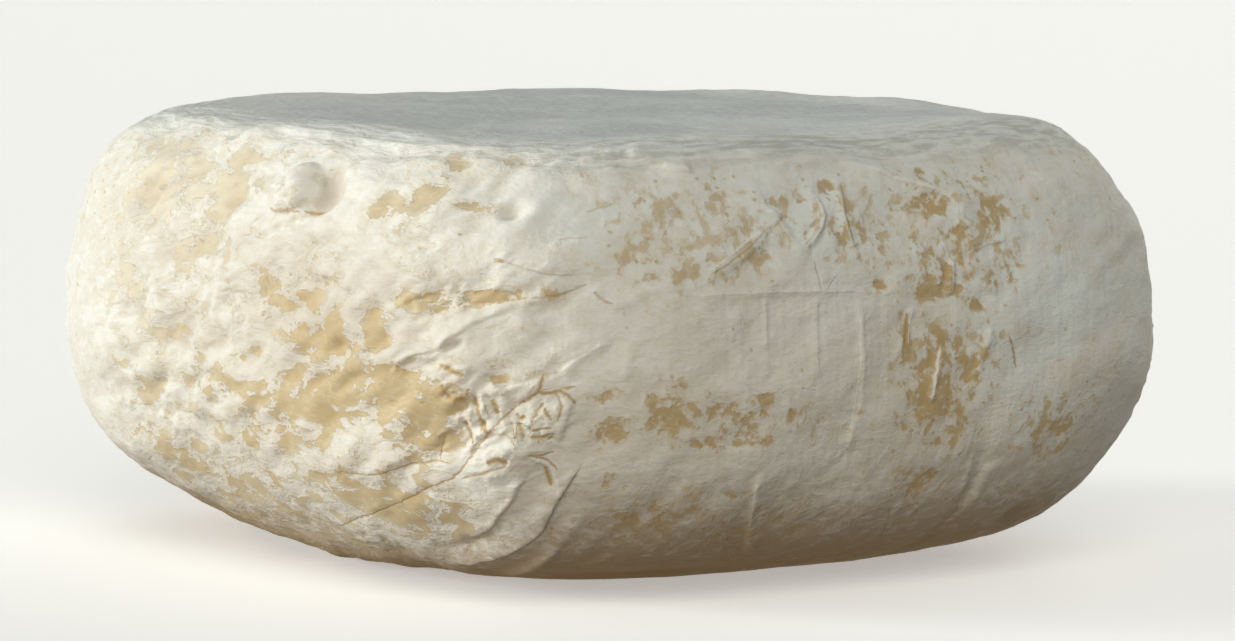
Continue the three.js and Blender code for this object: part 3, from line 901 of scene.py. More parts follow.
def in_order(body):
    """The same body with its faces in a fixed order, because turning leaves them in another one each run."""
    body.verts.index_update()
    loops = []
    for face in body.faces:
        loop = [vert.index for vert in face.verts]
        first = loop.index(min(loop))
        loops.append(loop[first:] + loop[:first])
    ordered = bmesh.new()
    verts = [ordered.verts.new(vert.co) for vert in body.verts]
    for loop in sorted(loops):
        ordered.faces.new([verts[index] for index in loop])
    body.free()
    return ordered


def split_faces(body, test):
    """Splits the faces whose middles pass the test into four."""
    faces = list(body.faces)
    middles = np.array([face.calc_center_median() for face in faces])
    chosen = test(middles)
    edges = dict.fromkeys(edge for face, wanted in zip(faces, chosen) if wanted for edge in face.edges)
    bmesh.ops.subdivide_edges(body, edges=list(edges), cuts=1, use_grid_fill=True)


def outer_places(middles):
    """True above the foot and outside the middle of the top."""
    half = np.hypot(middles[:, 0], middles[:, 1])
    return (middles[:, 2] > SPLIT_ABOVE) & (half > SPLIT_TOP_HALF)


def shown_places(middles):
    """True on the two sides that face the camera."""
    turn = (np.degrees(np.arctan2(middles[:, 1], middles[:, 0])) - SHOWN_FROM) % 360
    half = np.hypot(middles[:, 0], middles[:, 1])
    return (turn < SHOWN_SPAN) & (middles[:, 2] > SHOWN_ABOVE) & (half > SHOWN_TOP_HALF)


def near_lines(lines, reach):
    """A test for places of the turned body that lie close to any of the lines."""
    points = np.concatenate(lines)
    angle = np.radians(points[:, 0])
    half = side_half(points[:, 1])
    tree = KDTree(len(points))
    for index, place in enumerate(zip(half * np.cos(angle), half * np.sin(angle), points[:, 1])):
        tree.insert(place, index)
    tree.balance()

    def test(middles):
        close = np.array([tree.find(middle)[2] < reach for middle in middles])
        return close & outer_places(middles)

    return test


def in_bundle(line):
    """True for a line whose middle lies in the crumpled bundle at the near corner."""
    angle, height = line[len(line) // 2]
    beside = BUNDLE_ANGLES[0] < angle < BUNDLE_ANGLES[1]
    return beside and BUNDLE_HEIGHTS[0] < height < BUNDLE_HEIGHTS[1]


class CreaseLayer:
    """Creases that keep clear of each other: each point's offset from its line, strength and stain."""

    def __init__(self, count):
        self.gap = np.full(count, np.inf)
        self.values = np.zeros((count, 3))
        self.samples = np.full((1, 3), np.inf)

    def clearance(self, samples):
        """How far a new line stays from the lines already in the layer."""
        return np.linalg.norm(self.samples[:, None, :] - samples[None, :, :], axis=2).min()

    def add(self, samples, near, gap, values):
        """Keeps the values where the new line is the nearest one."""
        self.samples = np.concatenate([self.samples, samples])
        closer = gap < self.gap[near]
        self.gap[near[closer]] = gap[closer]
        self.values[near[closer]] = values[closer]


class Surface:
    """The body's points and outward directions, with the relief and finish gathered on them."""

    def __init__(self, places, outward):
        self.places = places
        self.outward = outward
        self.rise = np.zeros(len(places))
        self.worn = np.zeros(len(places))
        self.hollow = np.zeros(len(places))
        self.ripe = np.ones(len(places))
        self.cool = np.zeros(len(places))
        self.layers = [CreaseLayer(len(places)) for _ in range(CREASE_LAYERS)]

    def within(self, middle, reach):
        """Indices of the points inside a box round a place."""
        return np.flatnonzero(np.all(np.abs(self.places - middle) < reach, axis=1))

    def spread(self, angle, z, wide, tall):
        """Points near a spot of the side, and how far out in its ellipse each one lies, squared."""
        middle = side_points(angle, z)[0]
        along = side_points(angle + SPOT_STEP, z)[0] - middle
        along /= np.linalg.norm(along)
        near = self.within(middle, SPOT_REACH * max(wide, tall))
        offset = self.places[near] - middle
        sideways = offset @ along
        rest = np.maximum((offset**2).sum(axis=1) - sideways**2, 0)
        return near, (sideways / wide) ** 2 + rest / tall**2

    def spot(self, angle, z, wide, tall, strength):
        """Points near a soft spot of the side, and its strength at each of them."""
        near, spread = self.spread(angle, z, wide, tall)
        return near, strength * np.exp(-0.5 * spread)

    def line(self, path, reach):
        """Samples of a line, the points near it, and their distance, offset and share of its length."""
        line = flowing(path)
        samples = side_points(line[:, 0], line[:, 1])
        tangents = np.gradient(samples, axis=0)
        tangents /= np.linalg.norm(tangents, axis=1)[:, None]
        low, high = samples.min(axis=0) - reach, samples.max(axis=0) + reach
        near = np.flatnonzero(np.all((self.places > low) & (self.places < high), axis=1))
        offsets = self.places[near][:, None, :] - samples[None, :, :]
        squares = (offsets**2).sum(axis=2)
        closest = squares.argmin(axis=1)
        rows = np.arange(len(near))
        gap = np.sqrt(squares[rows, closest])
        across = np.cross(self.outward[near], tangents[closest])
        offset = (across * offsets[rows, closest]).sum(axis=1)
        return samples, near, gap, offset, closest / (len(samples) - 1)

    def add_mound(self, angle, z, wide, tall, rise):
        """An even dome or dent over an ellipse."""
        near, spread = self.spread(angle, z, wide, tall)
        self.rise[near] += rise * np.maximum(1 - spread, 0) ** 2

    def add_wear(self, *patch):
        """A soft spot of worn bloom."""
        near, strength = self.spot(*patch)
        self.worn[near] = np.maximum(self.worn[near], strength)

    def add_cover(self, *patch):
        """A soft spot of thicker bloom."""
        near, strength = self.spot(*patch)
        self.worn[near] -= strength

    def add_dullness_and_shade(self, *patch):
        """A soft spot of thin and dull bloom, partly painted shade, kept with the painted shade of the dents.
        """
        near, strength = self.spot(*patch)
        self.hollow[near] = np.maximum(self.hollow[near], strength)

    def add_paleness(self, *patch):
        """A soft spot of paler paste; on the upper left this paleness is partly painted light."""
        near, strength = self.spot(*patch)
        self.ripe[near] = np.minimum(self.ripe[near], 1 - strength)

    def add_coolness(self, *patch):
        """A soft spot of cool bloom."""
        near, strength = self.spot(*patch)
        self.cool[near] = np.maximum(self.cool[near], strength)

    def add_fold(self, width, rise, path):
        """A soft ridge or groove that dies away at its ends."""
        _, near, gap, _, share = self.line(path, FOLD_REACH * width)
        ends = np.sin(math.pi * (FOLD_START + FOLD_RUN * share))
        self.rise[near] += rise * ends * np.exp(-((gap / width) ** 2))

    def add_welt(self, width, end_width, rise, path):
        """A rounded swelling with steep flanks that narrows along its line."""
        _, near, gap, _, share = self.line(path, width)
        here = width + (end_width - width) * share
        self.rise[near] += rise * here / width * np.maximum(1 - (gap / here) ** 2, 0) ** WELT_FLANK

    def add_crease(self, half, depth, stain, path):
        """A narrow groove with a low lip on one side, kept as a line for the finish as well."""
        samples, near, gap, offset, share = self.line(path, CREASE_REACH)
        width = GROOVE_WIDTH + GROOVE_SPREAD * half
        ends = smooth(np.sin(math.pi * share), 0.0, LINE_END)
        groove = np.exp(-((gap / width) ** 2))
        beyond = (offset - LIP_PLACE * width) / width
        past_end = (gap - np.abs(offset)) / width
        lip = np.exp(-(beyond**2 + past_end**2))
        self.rise[near] += GROOVE_SHARE * depth * ends * (LIP_SHARE * lip - groove)
        stroke = half * ends * (1 - smooth(gap, *CREASE_FADE))
        values = np.column_stack([offset, stroke, np.full(len(near), stain)])
        layer = max(self.layers, key=lambda layer: min(layer.clearance(samples), CREASE_CLEAR))
        layer.add(samples, near, gap, values)

    def add_crumple(self, angle, z, wide, tall, rise, size):
        """Tilted facets of crumpled rind, rubbed along some of their edges."""
        near, spread = self.spread(angle, z, wide, tall)
        near, spread = near[spread < 1], spread[spread < 1]
        tilts, edges = [], []
        for place in self.places[near]:
            scaled = Vector(place) / size
            gaps, middles = noise.voronoi(scaled)
            slope = noise.cell_vector(FACET_SPREAD * middles[0]) - Vector(NOISE_MIDDLE)
            tilts.append((scaled - middles[0]) @ slope)
            edges.append((gaps[1] - gaps[0]) + max(slope[0], 0))
        fade = 1 - spread
        rubbed = 1 - smooth(np.array(edges), 0.0, RUBBED_EDGE)
        self.rise[near] += FACET_SHARE * rise * fade * np.array(tilts)
        self.worn[near] = np.maximum(self.worn[near], RUBBED_WEAR * fade * rubbed)

    def add_pleat(self, width, rise, reach, path):
        """A fold that stands up sharply on one side and fades away on the other."""
        _, near, gap, offset, share = self.line(path, PLEAT_REACH * reach)
        across = gap * np.sign(offset)
        ends = smooth(np.sin(math.pi * share), 0.0, LINE_END)
        step = 0.5 + 0.5 * np.tanh(across / width)
        fade = np.exp(-((np.maximum(across, 0) / reach) ** PLEAT_FADE))
        self.rise[near] += rise * ends * step * fade


def noise_over(places, length, stretch, seed, octaves):
    """Cloudy noise of even strength at the given places, stretched along the side."""
    start = Vector([seed * shift for shift in NOISE_SHIFT])
    scaled = places * np.array([stretch, stretch, 1.0]) / length
    values = []
    for place in scaled:
        values.append(noise.fractal(Vector(place) + start, NOISE_FALL, NOISE_STEP, octaves))
    values = np.array(values)
    return (values - values.mean()) / values.std()


def drifted(places):
    """Places pushed about a little, so that patches get ragged shores."""
    noise.seed_set(DRIFT_SEED)
    return places + DRIFT * np.array([noise.noise_vector(Vector(place) / DRIFT_LENGTH) for place in places])


def lumpiness(places):
    """One on the lumpiest sides, and zero on the smooth ones and on the top."""
    angle = np.degrees(np.arctan2(places[:, 1], places[:, 0]))
    lumpy = np.zeros(len(places))
    for middle, spread in LUMPY_SIDES:
        turn = np.abs((angle - middle + 180) % 360 - 180)
        lumpy = np.maximum(lumpy, 1 - smooth(turn, LUMPY_CORE * spread, spread))
    return lumpy * (1 - smooth(places[:, 2], *LUMPS_END))


def add_swells(surface):
    """Slow waves through the whole body."""
    for rise, length, heading, slope, start in SWELLS:
        flat = math.cos(math.radians(slope))
        heading = math.radians(heading)
        way = np.array([flat * math.cos(heading), flat * math.sin(heading), math.sin(math.radians(slope))])
        surface.rise += rise * np.sin(2 * math.pi * (surface.places @ way) / length + start)


def add_lumps(surface):
    """Soft lumps, slanting ripples and dimples, stronger on the lumpier sides. Returns the lumpy part."""
    places = surface.places
    lumpy = lumpiness(places) * smooth(places[:, 2], *LUMPS_FROM)
    slanted = places.copy()
    slanted[:, 2] -= RIPPLE_SLANT * (places[:, 0] + places[:, 1])
    level = 1 - TOP_CALM * smooth(places[:, 2], *TOP_EDGE)
    lumps = noise_over(slanted, *LUMP_NOISE)
    surface.rise += level * (LUMP_RISE + (LUMPY_RISE - LUMP_RISE) * lumpy) * lumps
    ripples = RIPPLE_LEVEL - np.abs(noise_over(slanted, *RIPPLE_NOISE))
    surface.rise += level * (RIPPLE_RISE + (RIPPLY_RISE - RIPPLE_RISE) * lumpy) * ripples
    dimpled = level * (DIMPLE_SHARE + (1 - DIMPLE_SHARE) * lumpy)
    surface.rise += DIMPLE_RISE * dimpled * noise_over(slanted, *DIMPLE_NOISE)
    return lumpy * (lumps + ripples)


def add_bloom(surface, lumps):
    """Turns wear into the level that bares the paste above zero, and raises the bloom around it."""
    patches = noise_over(drifted(surface.places), *PATCH_NOISE)
    wear = WEAR_SHARE * surface.worn + PATCH_SHARE * patches - HOLLOW_SHARE * lumps - BARE_FROM
    surface.worn = np.minimum(wear, BAREST)
    surface.rise += BLOOM_THICKNESS * smooth(-surface.worn, *BLOOM_EDGE)


def add_wrinkles(surface):
    """Thin wrinkles that run along the crest and over the brow."""
    rng = random.Random(WRINKLE_SEED)
    places = surface.places
    angle = np.degrees(np.arctan2(places[:, 1], places[:, 0])) % 360
    half = np.maximum(np.abs(places[:, 0]), np.abs(places[:, 1]))
    crown = smooth(places[:, 2], *WRINKLES_FROM)
    for _ in range(WRINKLE_COUNT):
        middle = 360 * rng.random()
        long = rng.uniform(*WRINKLE_LENGTHS)
        at = rng.uniform(*WRINKLE_PLACES)
        slant = rng.uniform(*WRINKLE_SLANTS)
        width = rng.uniform(*WRINKLE_WIDTHS)
        rise = rng.uniform(*WRINKLE_RISES)
        turn = (angle - middle + 180) % 360 - 180
        ends = np.exp(-((turn / long) ** 2))
        surface.rise += crown * rise * ends * np.exp(-(((half - at - slant * turn) / width) ** 2))


def add_rows(add, rows):
    """Adds one feature for each row of its values."""
    for row in rows:
        add(*row)


def sculpt(body, creases, pleats, wear):
    """Squares the turned body, raises its relief and settles where the bloom is worn."""
    turned = np.array([vert.co for vert in body.verts])
    angle = np.arctan2(turned[:, 1], turned[:, 0])
    places = body_points(angle, np.hypot(turned[:, 0], turned[:, 1]), turned[:, 2])
    for vert, place in zip(body.verts, places):
        vert.co = place
    body.normal_update()
    surface = Surface(places, np.array([vert.normal for vert in body.verts]))
    add_swells(surface)
    add_wrinkles(surface)
    add_rows(surface.add_mound, MOUNDS.values())
    even = surface.rise.copy()
    lumps = add_lumps(surface)
    add_rows(surface.add_mound, THUMB_MARKS.values())
    add_rows(surface.add_fold, FOLDS.values())
    add_rows(surface.add_crease, creases)
    add_rows(surface.add_pleat, pleats)
    add_rows(surface.add_crumple, CRUMPLES.values())
    add_rows(surface.add_welt, WELTS.values())
    add_rows(surface.add_wear, wear)
    add_rows(surface.add_cover, WHOLE_BLOOM.values())
    add_rows(surface.add_paleness, PALE_PASTE.values())
    add_rows(surface.add_coolness, COOL_BLOOM.values())
    # Painted shade: the dents below the even body are marked for the finish to darken.
    surface.hollow = smooth(even - surface.rise, *SHADED_DENT_DEPTHS)
    add_rows(surface.add_dullness_and_shade, DULL_AND_SHADED_BLOOM.values())
    add_bloom(surface, lumps)
    surface.rise *= smooth(places[:, 2], FOOT_CLEAR, FOOT_FADE)
    return surface


def fitted(places, size):
    """Moves the points to the middle of the plan and to the given size, on the floor."""
    places[:, 2] = np.maximum(places[:, 2], 0)
    low, high = places.min(axis=0), places.max(axis=0)
    middle = np.array([(low[0] + high[0]) / 2, (low[1] + high[1]) / 2, 0])
    return (places - middle) * (np.array(size) / (high - low))


def add_value(mesh, name, values):
    """Keeps one number for each point of the mesh, for its material to read."""
    layer = mesh.attributes.new(name, "FLOAT", "POINT")
    layer.data.foreach_set("value", np.asarray(values, np.float32))


def add_vector(mesh, name, values):
    """Keeps three numbers for each point of the mesh, for its material to read."""
    layer = mesh.attributes.new(name, "FLOAT_VECTOR", "POINT")
    layer.data.foreach_set("vector", np.asarray(values, np.float32).ravel())


class Finish:
    """Adds nodes to a material and joins them."""

    def __init__(self, name):
        self.material = bpy.data.materials.new(name)
        self.material.use_nodes = True
        self.tree = self.material.node_tree
        self.shader = self.tree.nodes["Principled BSDF"]

    def put(self, socket, value):
        """Joins an output to a socket, or sets the socket to a plain value."""
        if isinstance(value, bpy.types.NodeSocket):
            self.tree.links.new(value, socket)
        elif value is not None:
            socket.default_value = value

    def math(self, operation, first, second=None):
        """Arithmetic on one or two values."""
        node = self.tree.nodes.new("ShaderNodeMath")
        node.operation = operation
        self.put(node.inputs[0], first)
        self.put(node.inputs[1], second)
        return node.outputs[0]

    def plus(self, first, second):
        """The sum of two values."""
        return self.math("ADD", first, second)

    def minus(self, first, second):
        """The first value less the second."""
        return self.math("SUBTRACT", first, second)

    def times(self, first, second):
        """The product of two values."""
        return self.math("MULTIPLY", first, second)

    def rest(self, value):
        """What is left of one."""
        return self.minus(1.0, value)

    def swing(self, noise, amount):
        """A noise turned into a swing to both sides of zero."""
        return self.times(self.minus(noise, 0.5), amount)

    def vector(self, operation, first, second=None, scale=None):
        """Arithmetic on places."""
        node = self.tree.nodes.new("ShaderNodeVectorMath")
        node.operation = operation
        self.put(node.inputs[0], first)
        self.put(node.inputs[1], second)
        if scale is not None:
            self.put(node.inputs["Scale"], scale)
        return node.outputs[0]

    def between(self, value, low, high):
        """Zero at low and one at high, with an easy change between."""
        node = self.tree.nodes.new("ShaderNodeMapRange")
        node.interpolation_type = "SMOOTHSTEP"
        self.put(node.inputs["Value"], value)
        self.put(node.inputs["From Min"], low)
        self.put(node.inputs["From Max"], high)
        return node.outputs["Result"]

    def noise(self, place, scale, detail, roughness, output="Fac"):
        """Cloudy noise, as a value or as a colour."""
        node = self.tree.nodes.new("ShaderNodeTexNoise")
        self.put(node.inputs["Vector"], place)
        self.put(node.inputs["Scale"], scale)
        self.put(node.inputs["Detail"], detail)
        self.put(node.inputs["Roughness"], roughness)
        return node.outputs[output]

    def cells(self, place, scale):
        """Scattered cells: distance from each middle, and a colour for each cell."""
        node = self.tree.nodes.new("ShaderNodeTexVoronoi")
        self.put(node.inputs["Vector"], place)
        self.put(node.inputs["Scale"], scale)
        return node.outputs["Distance"], node.outputs["Color"]

    def mix(self, factor, first, second):
        """One colour over another."""
        node = self.tree.nodes.new("ShaderNodeMix")
        node.data_type = "RGBA"
        self.put(node.inputs[MIX_FACTOR], factor)
        self.put(node.inputs[MIX_FIRST], first)
        self.put(node.inputs[MIX_SECOND], second)
        return node.outputs[MIX_RESULT]

    def kept(self, name):
        """A number kept on the points of the mesh."""
        node = self.tree.nodes.new("ShaderNodeAttribute")
        node.attribute_name = name
        return node.outputs["Fac"]

    def kept_three(self, name):
        """Three numbers kept on the points of the mesh."""
        node = self.tree.nodes.new("ShaderNodeAttribute")
        node.attribute_name = name
        parts = self.tree.nodes.new("ShaderNodeSeparateXYZ")
        self.put(parts.inputs[0], node.outputs["Vector"])
        return parts.outputs

    def place_in_millimetres(self):
        """The place on the object, in millimetres."""
        node = self.tree.nodes.new("ShaderNodeTexCoord")
        return self.vector("SCALE", node.outputs["Object"], scale=1 / MILLIMETRE)


class RindFinish(Finish):
    """White bloom in a ragged layer over waxy tan paste, stained in the creases, and darker and browner
    towards the foot, partly with painted shade.
    """

    def __init__(self, colours):
        super().__init__("bloomy_rind")
        self.colours = colours
        self.place = self.place_in_millimetres()
        self.worn = self.kept("worn")
        self.fleck = self.kept("fleck")
        self.climb = self.kept("climb")
        self.hollow = self.kept("hollow")
        self.dusk = self.kept("dusk")
        self.ripe = self.kept("ripe")
        self.cool = self.kept("cool")
        self.add_noises()
        self.add_levels()
        self.add_lines()

    def tint(self, name):
        """One of the rind's colours."""
        return tuple(getattr(self.colours, name))

    def over(self, colour, name, share):
        """One of the rind's colours laid over another colour."""
        return self.mix(share, colour, self.tint(name))

    def add_noises(self):
        """The noises that more than one look reads."""
        self.flat = self.vector("MULTIPLY", self.place, FLAT_STRETCH)
        stir = self.noise(self.flat, *STIR_NOISE, output="Color")
        aside = self.vector("SCALE", self.vector("SUBTRACT", stir, NOISE_MIDDLE), scale=SWIRL_STIR)
        self.swirl = self.vector("ADD", self.flat, aside)
        scaled = self.vector("SCALE", self.place, scale=ROUND_SCALE)
        self.rounder = self.vector("ADD", scaled, self.vector("SCALE", stir, scale=ROUND_STIR))
        self.grain = self.noise(self.flat, *GRAIN_NOISE)
        self.cloud = self.noise(self.flat, *CLOUD_NOISE)
        self.frost = self.noise(self.swirl, *FROST_NOISE)
        self.veins = self.noise(self.swirl, *VEIN_NOISE)
        around = self.vector("MULTIPLY", self.place, STREAK_STRETCH)
        upward = self.tree.nodes.new("ShaderNodeCombineXYZ")
        self.put(upward.inputs["Z"], self.times(self.climb, STREAK_CLIMB))
        self.streaks = self.noise(self.vector("ADD", around, upward.outputs[0]), *STREAK_NOISE)

    def add_levels(self):
        """Where the paste is bare, how full the bloom is, and where the pinholes and the crest lie."""
        islands = self.noise(self.swirl, *ISLAND_NOISE)
        flecks = self.noise(self.rounder, *FLECK_NOISE)
        coast = self.plus(islands, self.times(self.fleck, self.minus(flecks, islands)))
        self.level = self.plus(self.worn, self.swing(coast, COAST_SWING))
        soft = self.times(self.fleck, FLECK_SOFT)
        low, high = BARE_LEVELS
        self.bare = self.between(self.level, self.minus(low, soft), self.plus(high, soft))
        self.covered = self.rest(self.bare)
        self.puff = self.rest(self.between(self.level, *PUFF_LEVELS))
        spot, cell = self.cells(self.flat, HOLE_SCALE)
        sparse = self.between(cell, *HOLE_CELLS)
        self.holes = self.times(self.rest(self.between(spot, *HOLE_EDGE)), sparse)
        below = self.rest(self.between(self.climb, *CREST_STOP))
        self.crest = self.times(self.between(self.climb, *CREST_START), below)

    def add_lines(self):
        """The thin lines of the creases: their grooves, the stain in them, and the light ridges, which get a
        painted highlight.
        """
        self.grooves = 0.0
        self.stains = 0.0
        self.ridges = 0.0
        wobble = self.swing(self.grain, LINE_SWING)
        for number in range(CREASE_LAYERS):
            offset, half, stain = self.kept_three(f"line_{number}")
            away = self.math("ABSOLUTE", self.plus(offset, wobble))
            width = self.plus(self.times(half, STROKE_SPREAD), STROKE_EDGE)
            line = self.rest(self.between(away, 0.0, width))
            line = self.times(line, self.between(half, *STROKE_SHOWS))
            tinted = self.times(line, stain)
            groove = self.times(line, self.math("GREATER_THAN", stain, 0.0))
            self.grooves = self.math("MAXIMUM", self.grooves, groove)
            self.stains = self.math("MAXIMUM", self.stains, tinted)
            self.ridges = self.math("MAXIMUM", self.ridges, self.times(tinted, -1.0))
        self.stains = self.times(self.stains, self.between(self.grain, *STAIN_GRAIN))

    def bloom(self):
        """The bloom, with dull clouds, thin, dull and cool places, painted shade in its dents and dull
        places, and a bright rim where it ends that is partly a painted highlight.
        """
        dull = self.plus(self.cloud, self.swing(self.frost, DULL_SWING))
        bloom = self.over(self.tint("bloom"), "bloom_shade", self.between(dull, *DULL_CLOUDS))
        frosted = self.plus(self.level, self.swing(self.frost, THIN_SWING))
        share = self.minus(THIN_SHARE, self.times(self.fleck, THIN_FLECK_LOSS))
        thin = self.times(self.between(frosted, *THIN_LEVELS), share)
        bloom = self.over(bloom, "thin_bloom", thin)
        # Painted shade laid into the bloom in dents and dull places.
        bloom = self.over(bloom, "hollow", self.times(self.hollow, HOLLOW_SHADE_SHARE))
        chill = self.between(self.noise(self.place, *CHILL_NOISE), *CHILL_CLOUDS)
        bloom = self.over(bloom, "cool", self.times(chill, self.cool))
        # Bright shore where the bloom ends: partly a painted highlight on its raised edge, weaker in painted
        # shade.
        shore = self.times(self.between(self.level, *SHORE_LEVELS), self.between(self.frost, *SHORE_FROST))
        share = self.minus(SHORE_HIGHLIGHT_SHARE, self.times(self.hollow, SHORE_HIGHLIGHT_LOSS))
        return self.over(bloom, "rim", self.times(shore, share))

    def paste(self):
        """The bare paste, pale where it is least worn and in its veins, paler still where its paleness is
        partly painted light, brown in flecks, and darkened in hollows with painted shade.
        """
        deep = self.between(self.plus(self.worn, self.swing(self.cloud, DEEP_SWING)), *DEEP_LEVELS)
        ripest = self.over(self.tint("paste"), "paste_brown", self.times(self.fleck, FLECK_BROWN))
        # Paler paste where the paleness value is low, partly painted light on the upper left.
        paste = self.mix(self.times(deep, self.ripe), self.tint("paste_light"), ripest)
        veined = self.times(self.between(self.veins, *PALE_VEINS), VEIN_SHARE)
        paste = self.over(paste, "paste_light", veined)
        browned = self.times(self.between(self.frost, *BROWN_FROST), BROWN_SHARE)
        paste = self.over(paste, "stain", browned)
        # Painted shade darkening the paste in hollows.
        return self.over(paste, "stain", self.times(self.hollow, HOLLOW_SHADE_BROWN))

    def marked(self, colour):
        """A colour with specks, pinholes, stained creases, painted highlights on the ridges, and the brown
        towards the foot, which is partly painted shade.
        """
        dot, cell = self.cells(self.rounder, DOT_SCALE)
        near = self.times(self.between(self.worn, *DOT_WEAR), DOT_WEAR_SHARE)
        low, high = DOT_CELLS
        many = self.between(cell, self.plus(near, low), self.plus(near, high))
        dots = self.times(self.rest(self.between(dot, *DOT_EDGE)), many)
        dots = self.times(dots, self.fleck)
        colour = self.over(colour, "stain", self.times(dots, DOT_SHARE))
        colour = self.over(colour, "stain", self.times(self.holes, HOLE_SHARE))
        colour = self.over(colour, "stain", self.times(self.stains, STAIN_SHARE))
        # Painted highlight along the ridges.
        colour = self.over(colour, "rim", self.times(self.ridges, RIDGE_HIGHLIGHT))
        # Darker and browner towards the foot: partly brown rind, partly painted shade.
        smudge = self.between(self.plus(self.frost, self.times(self.dusk, SMUDGE_DUSK)), *SMUDGE_FROST)
        return self.over(colour, "foot", self.times(self.dusk, smudge))

    def crowned(self, colour):
        """A colour with the streaks of the crest, painted highlights and shade of its wrinkles, and the grey
        of the top, partly painted shade.
        """
        # Painted highlights and shade of the crest's wrinkles: bright streaks with grey between, cooler and
        # stronger on the shaded side.
        streaky = self.over(self.tint("rim"), "cool", self.fleck)
        streaked = self.mix(self.between(self.streaks, *CREST_STREAKS), self.tint("crest"), streaky)
        veined = self.times(self.between(self.veins, *CREST_VEINS), CREST_VEIN_SHARE)
        streaked = self.over(streaked, "paste", veined)
        strength = self.plus(CREST_SHARE, self.times(self.fleck, CREST_FLECK_SHARE))
        colour = self.mix(self.times(self.crest, strength), colour, streaked)
        # The top's cool grey: partly painted shade of the top under the low lights, partly grey bloom.
        powder = self.noise(self.place, *POWDER_NOISE)
        curds = self.plus(self.noise(self.place, *CURD_NOISE), self.swing(powder, POWDER_SWING))
        crown = self.over(self.tint("crown"), "crown_light", self.between(curds, *CROWN_CURDS))
        edge = self.plus(self.climb, self.swing(self.cloud, TOP_CLOUD_SWING))
        edge = self.plus(edge, self.swing(self.streaks, TOP_STREAK_SWING))
        return self.mix(self.times(self.between(edge, *CROWN_CLIMB), TOP_GREY_AND_SHADE_SHARE), colour, crown)

    def height(self):
        """Height of the bump in millimetres."""
        brush = self.noise(self.vector("MULTIPLY", self.place, BRUSH_STRETCH), *BRUSH_NOISE)
        rugged = self.minus(FROST_DEPTH, self.times(self.fleck, FROST_FLECK_LOSS))
        frosted = self.times(self.times(self.frost, self.puff), rugged)
        height = self.minus(self.times(self.puff, PUFF_HEIGHT), frosted)
        for look, rise in (
            (self.covered, COVER_HEIGHT),
            (self.times(self.grain, self.covered), GRAIN_HEIGHT),
            (self.times(self.crest, self.streaks), STREAK_HEIGHT),
            (self.times(brush, self.fleck), BRUSH_HEIGHT),
            (self.holes, HOLE_HEIGHT),
            (self.grooves, GROOVE_HEIGHT),
            (self.ridges, RIDGE_HEIGHT),
        ):
            height = self.plus(height, self.times(look, rise))
        return height


def rind_finish(colours):
    """The rind's material."""
    rind = RindFinish(colours)
    sockets = rind.shader.inputs
    # Less paste shows where the paleness value is low, partly painted light.
    paste_showing = rind.plus(PALE_SHOWING, rind.times(rind.ripe, DEPTH_SHOWING))
    colour = rind.mix(rind.times(rind.bare, paste_showing), rind.bloom(), rind.paste())
    rind.put(sockets["Base Color"], rind.crowned(rind.marked(colour)))
    rind.put(sockets["Roughness"], rind.minus(BLOOM_ROUGHNESS, rind.times(rind.bare, PASTE_SMOOTHER)))
    bump = rind.tree.nodes.new("ShaderNodeBump")
    bump.inputs["Strength"].default_value = 1.0
    bump.inputs["Distance"].default_value = MILLIMETRE
    rind.put(bump.inputs["Height"], rind.height())
    rind.put(sockets["Normal"], bump.outputs["Normal"])
    sockets["Subsurface Weight"].default_value = GLOW_WEIGHT
    sockets["Subsurface Radius"].default_value = GLOW_RADIUS
    sockets["Subsurface Scale"].default_value = GLOW_DEPTH
    sockets["Specular IOR Level"].default_value = SHINE
    return rind.material


def size_property(name, description, default):
    """A size that a user may change."""
    return bpy.props.FloatProperty(name=name, description=description, default=default, unit="LENGTH")


class CheeseShape(bpy.types.PropertyGroup):
    """Sizes of the cheese."""

    length: size_property("Length", "Size of the cheese along X", CAD_HIGH.x - CAD_LOW.x)
    width: size_property("Width", "Size of the cheese along Y", CAD_HIGH.y - CAD_LOW.y)
    height: size_property("Height", "Height of the cheese", CAD_HIGH.z - CAD_LOW.z)


def colour_property(name, description, default):
    """A colour that a user may change."""
    return bpy.props.FloatVectorProperty(
        name=name,
        description=description,
        default=(*default, 1.0),
        size=4,
        min=0.0,
        max=1.0,
        subtype="COLOR",
    )


def strength_property(name, description, default):
    """A light's strength that a user may change."""
    return bpy.props.FloatProperty(name=name, description=description, default=default, min=0.0)


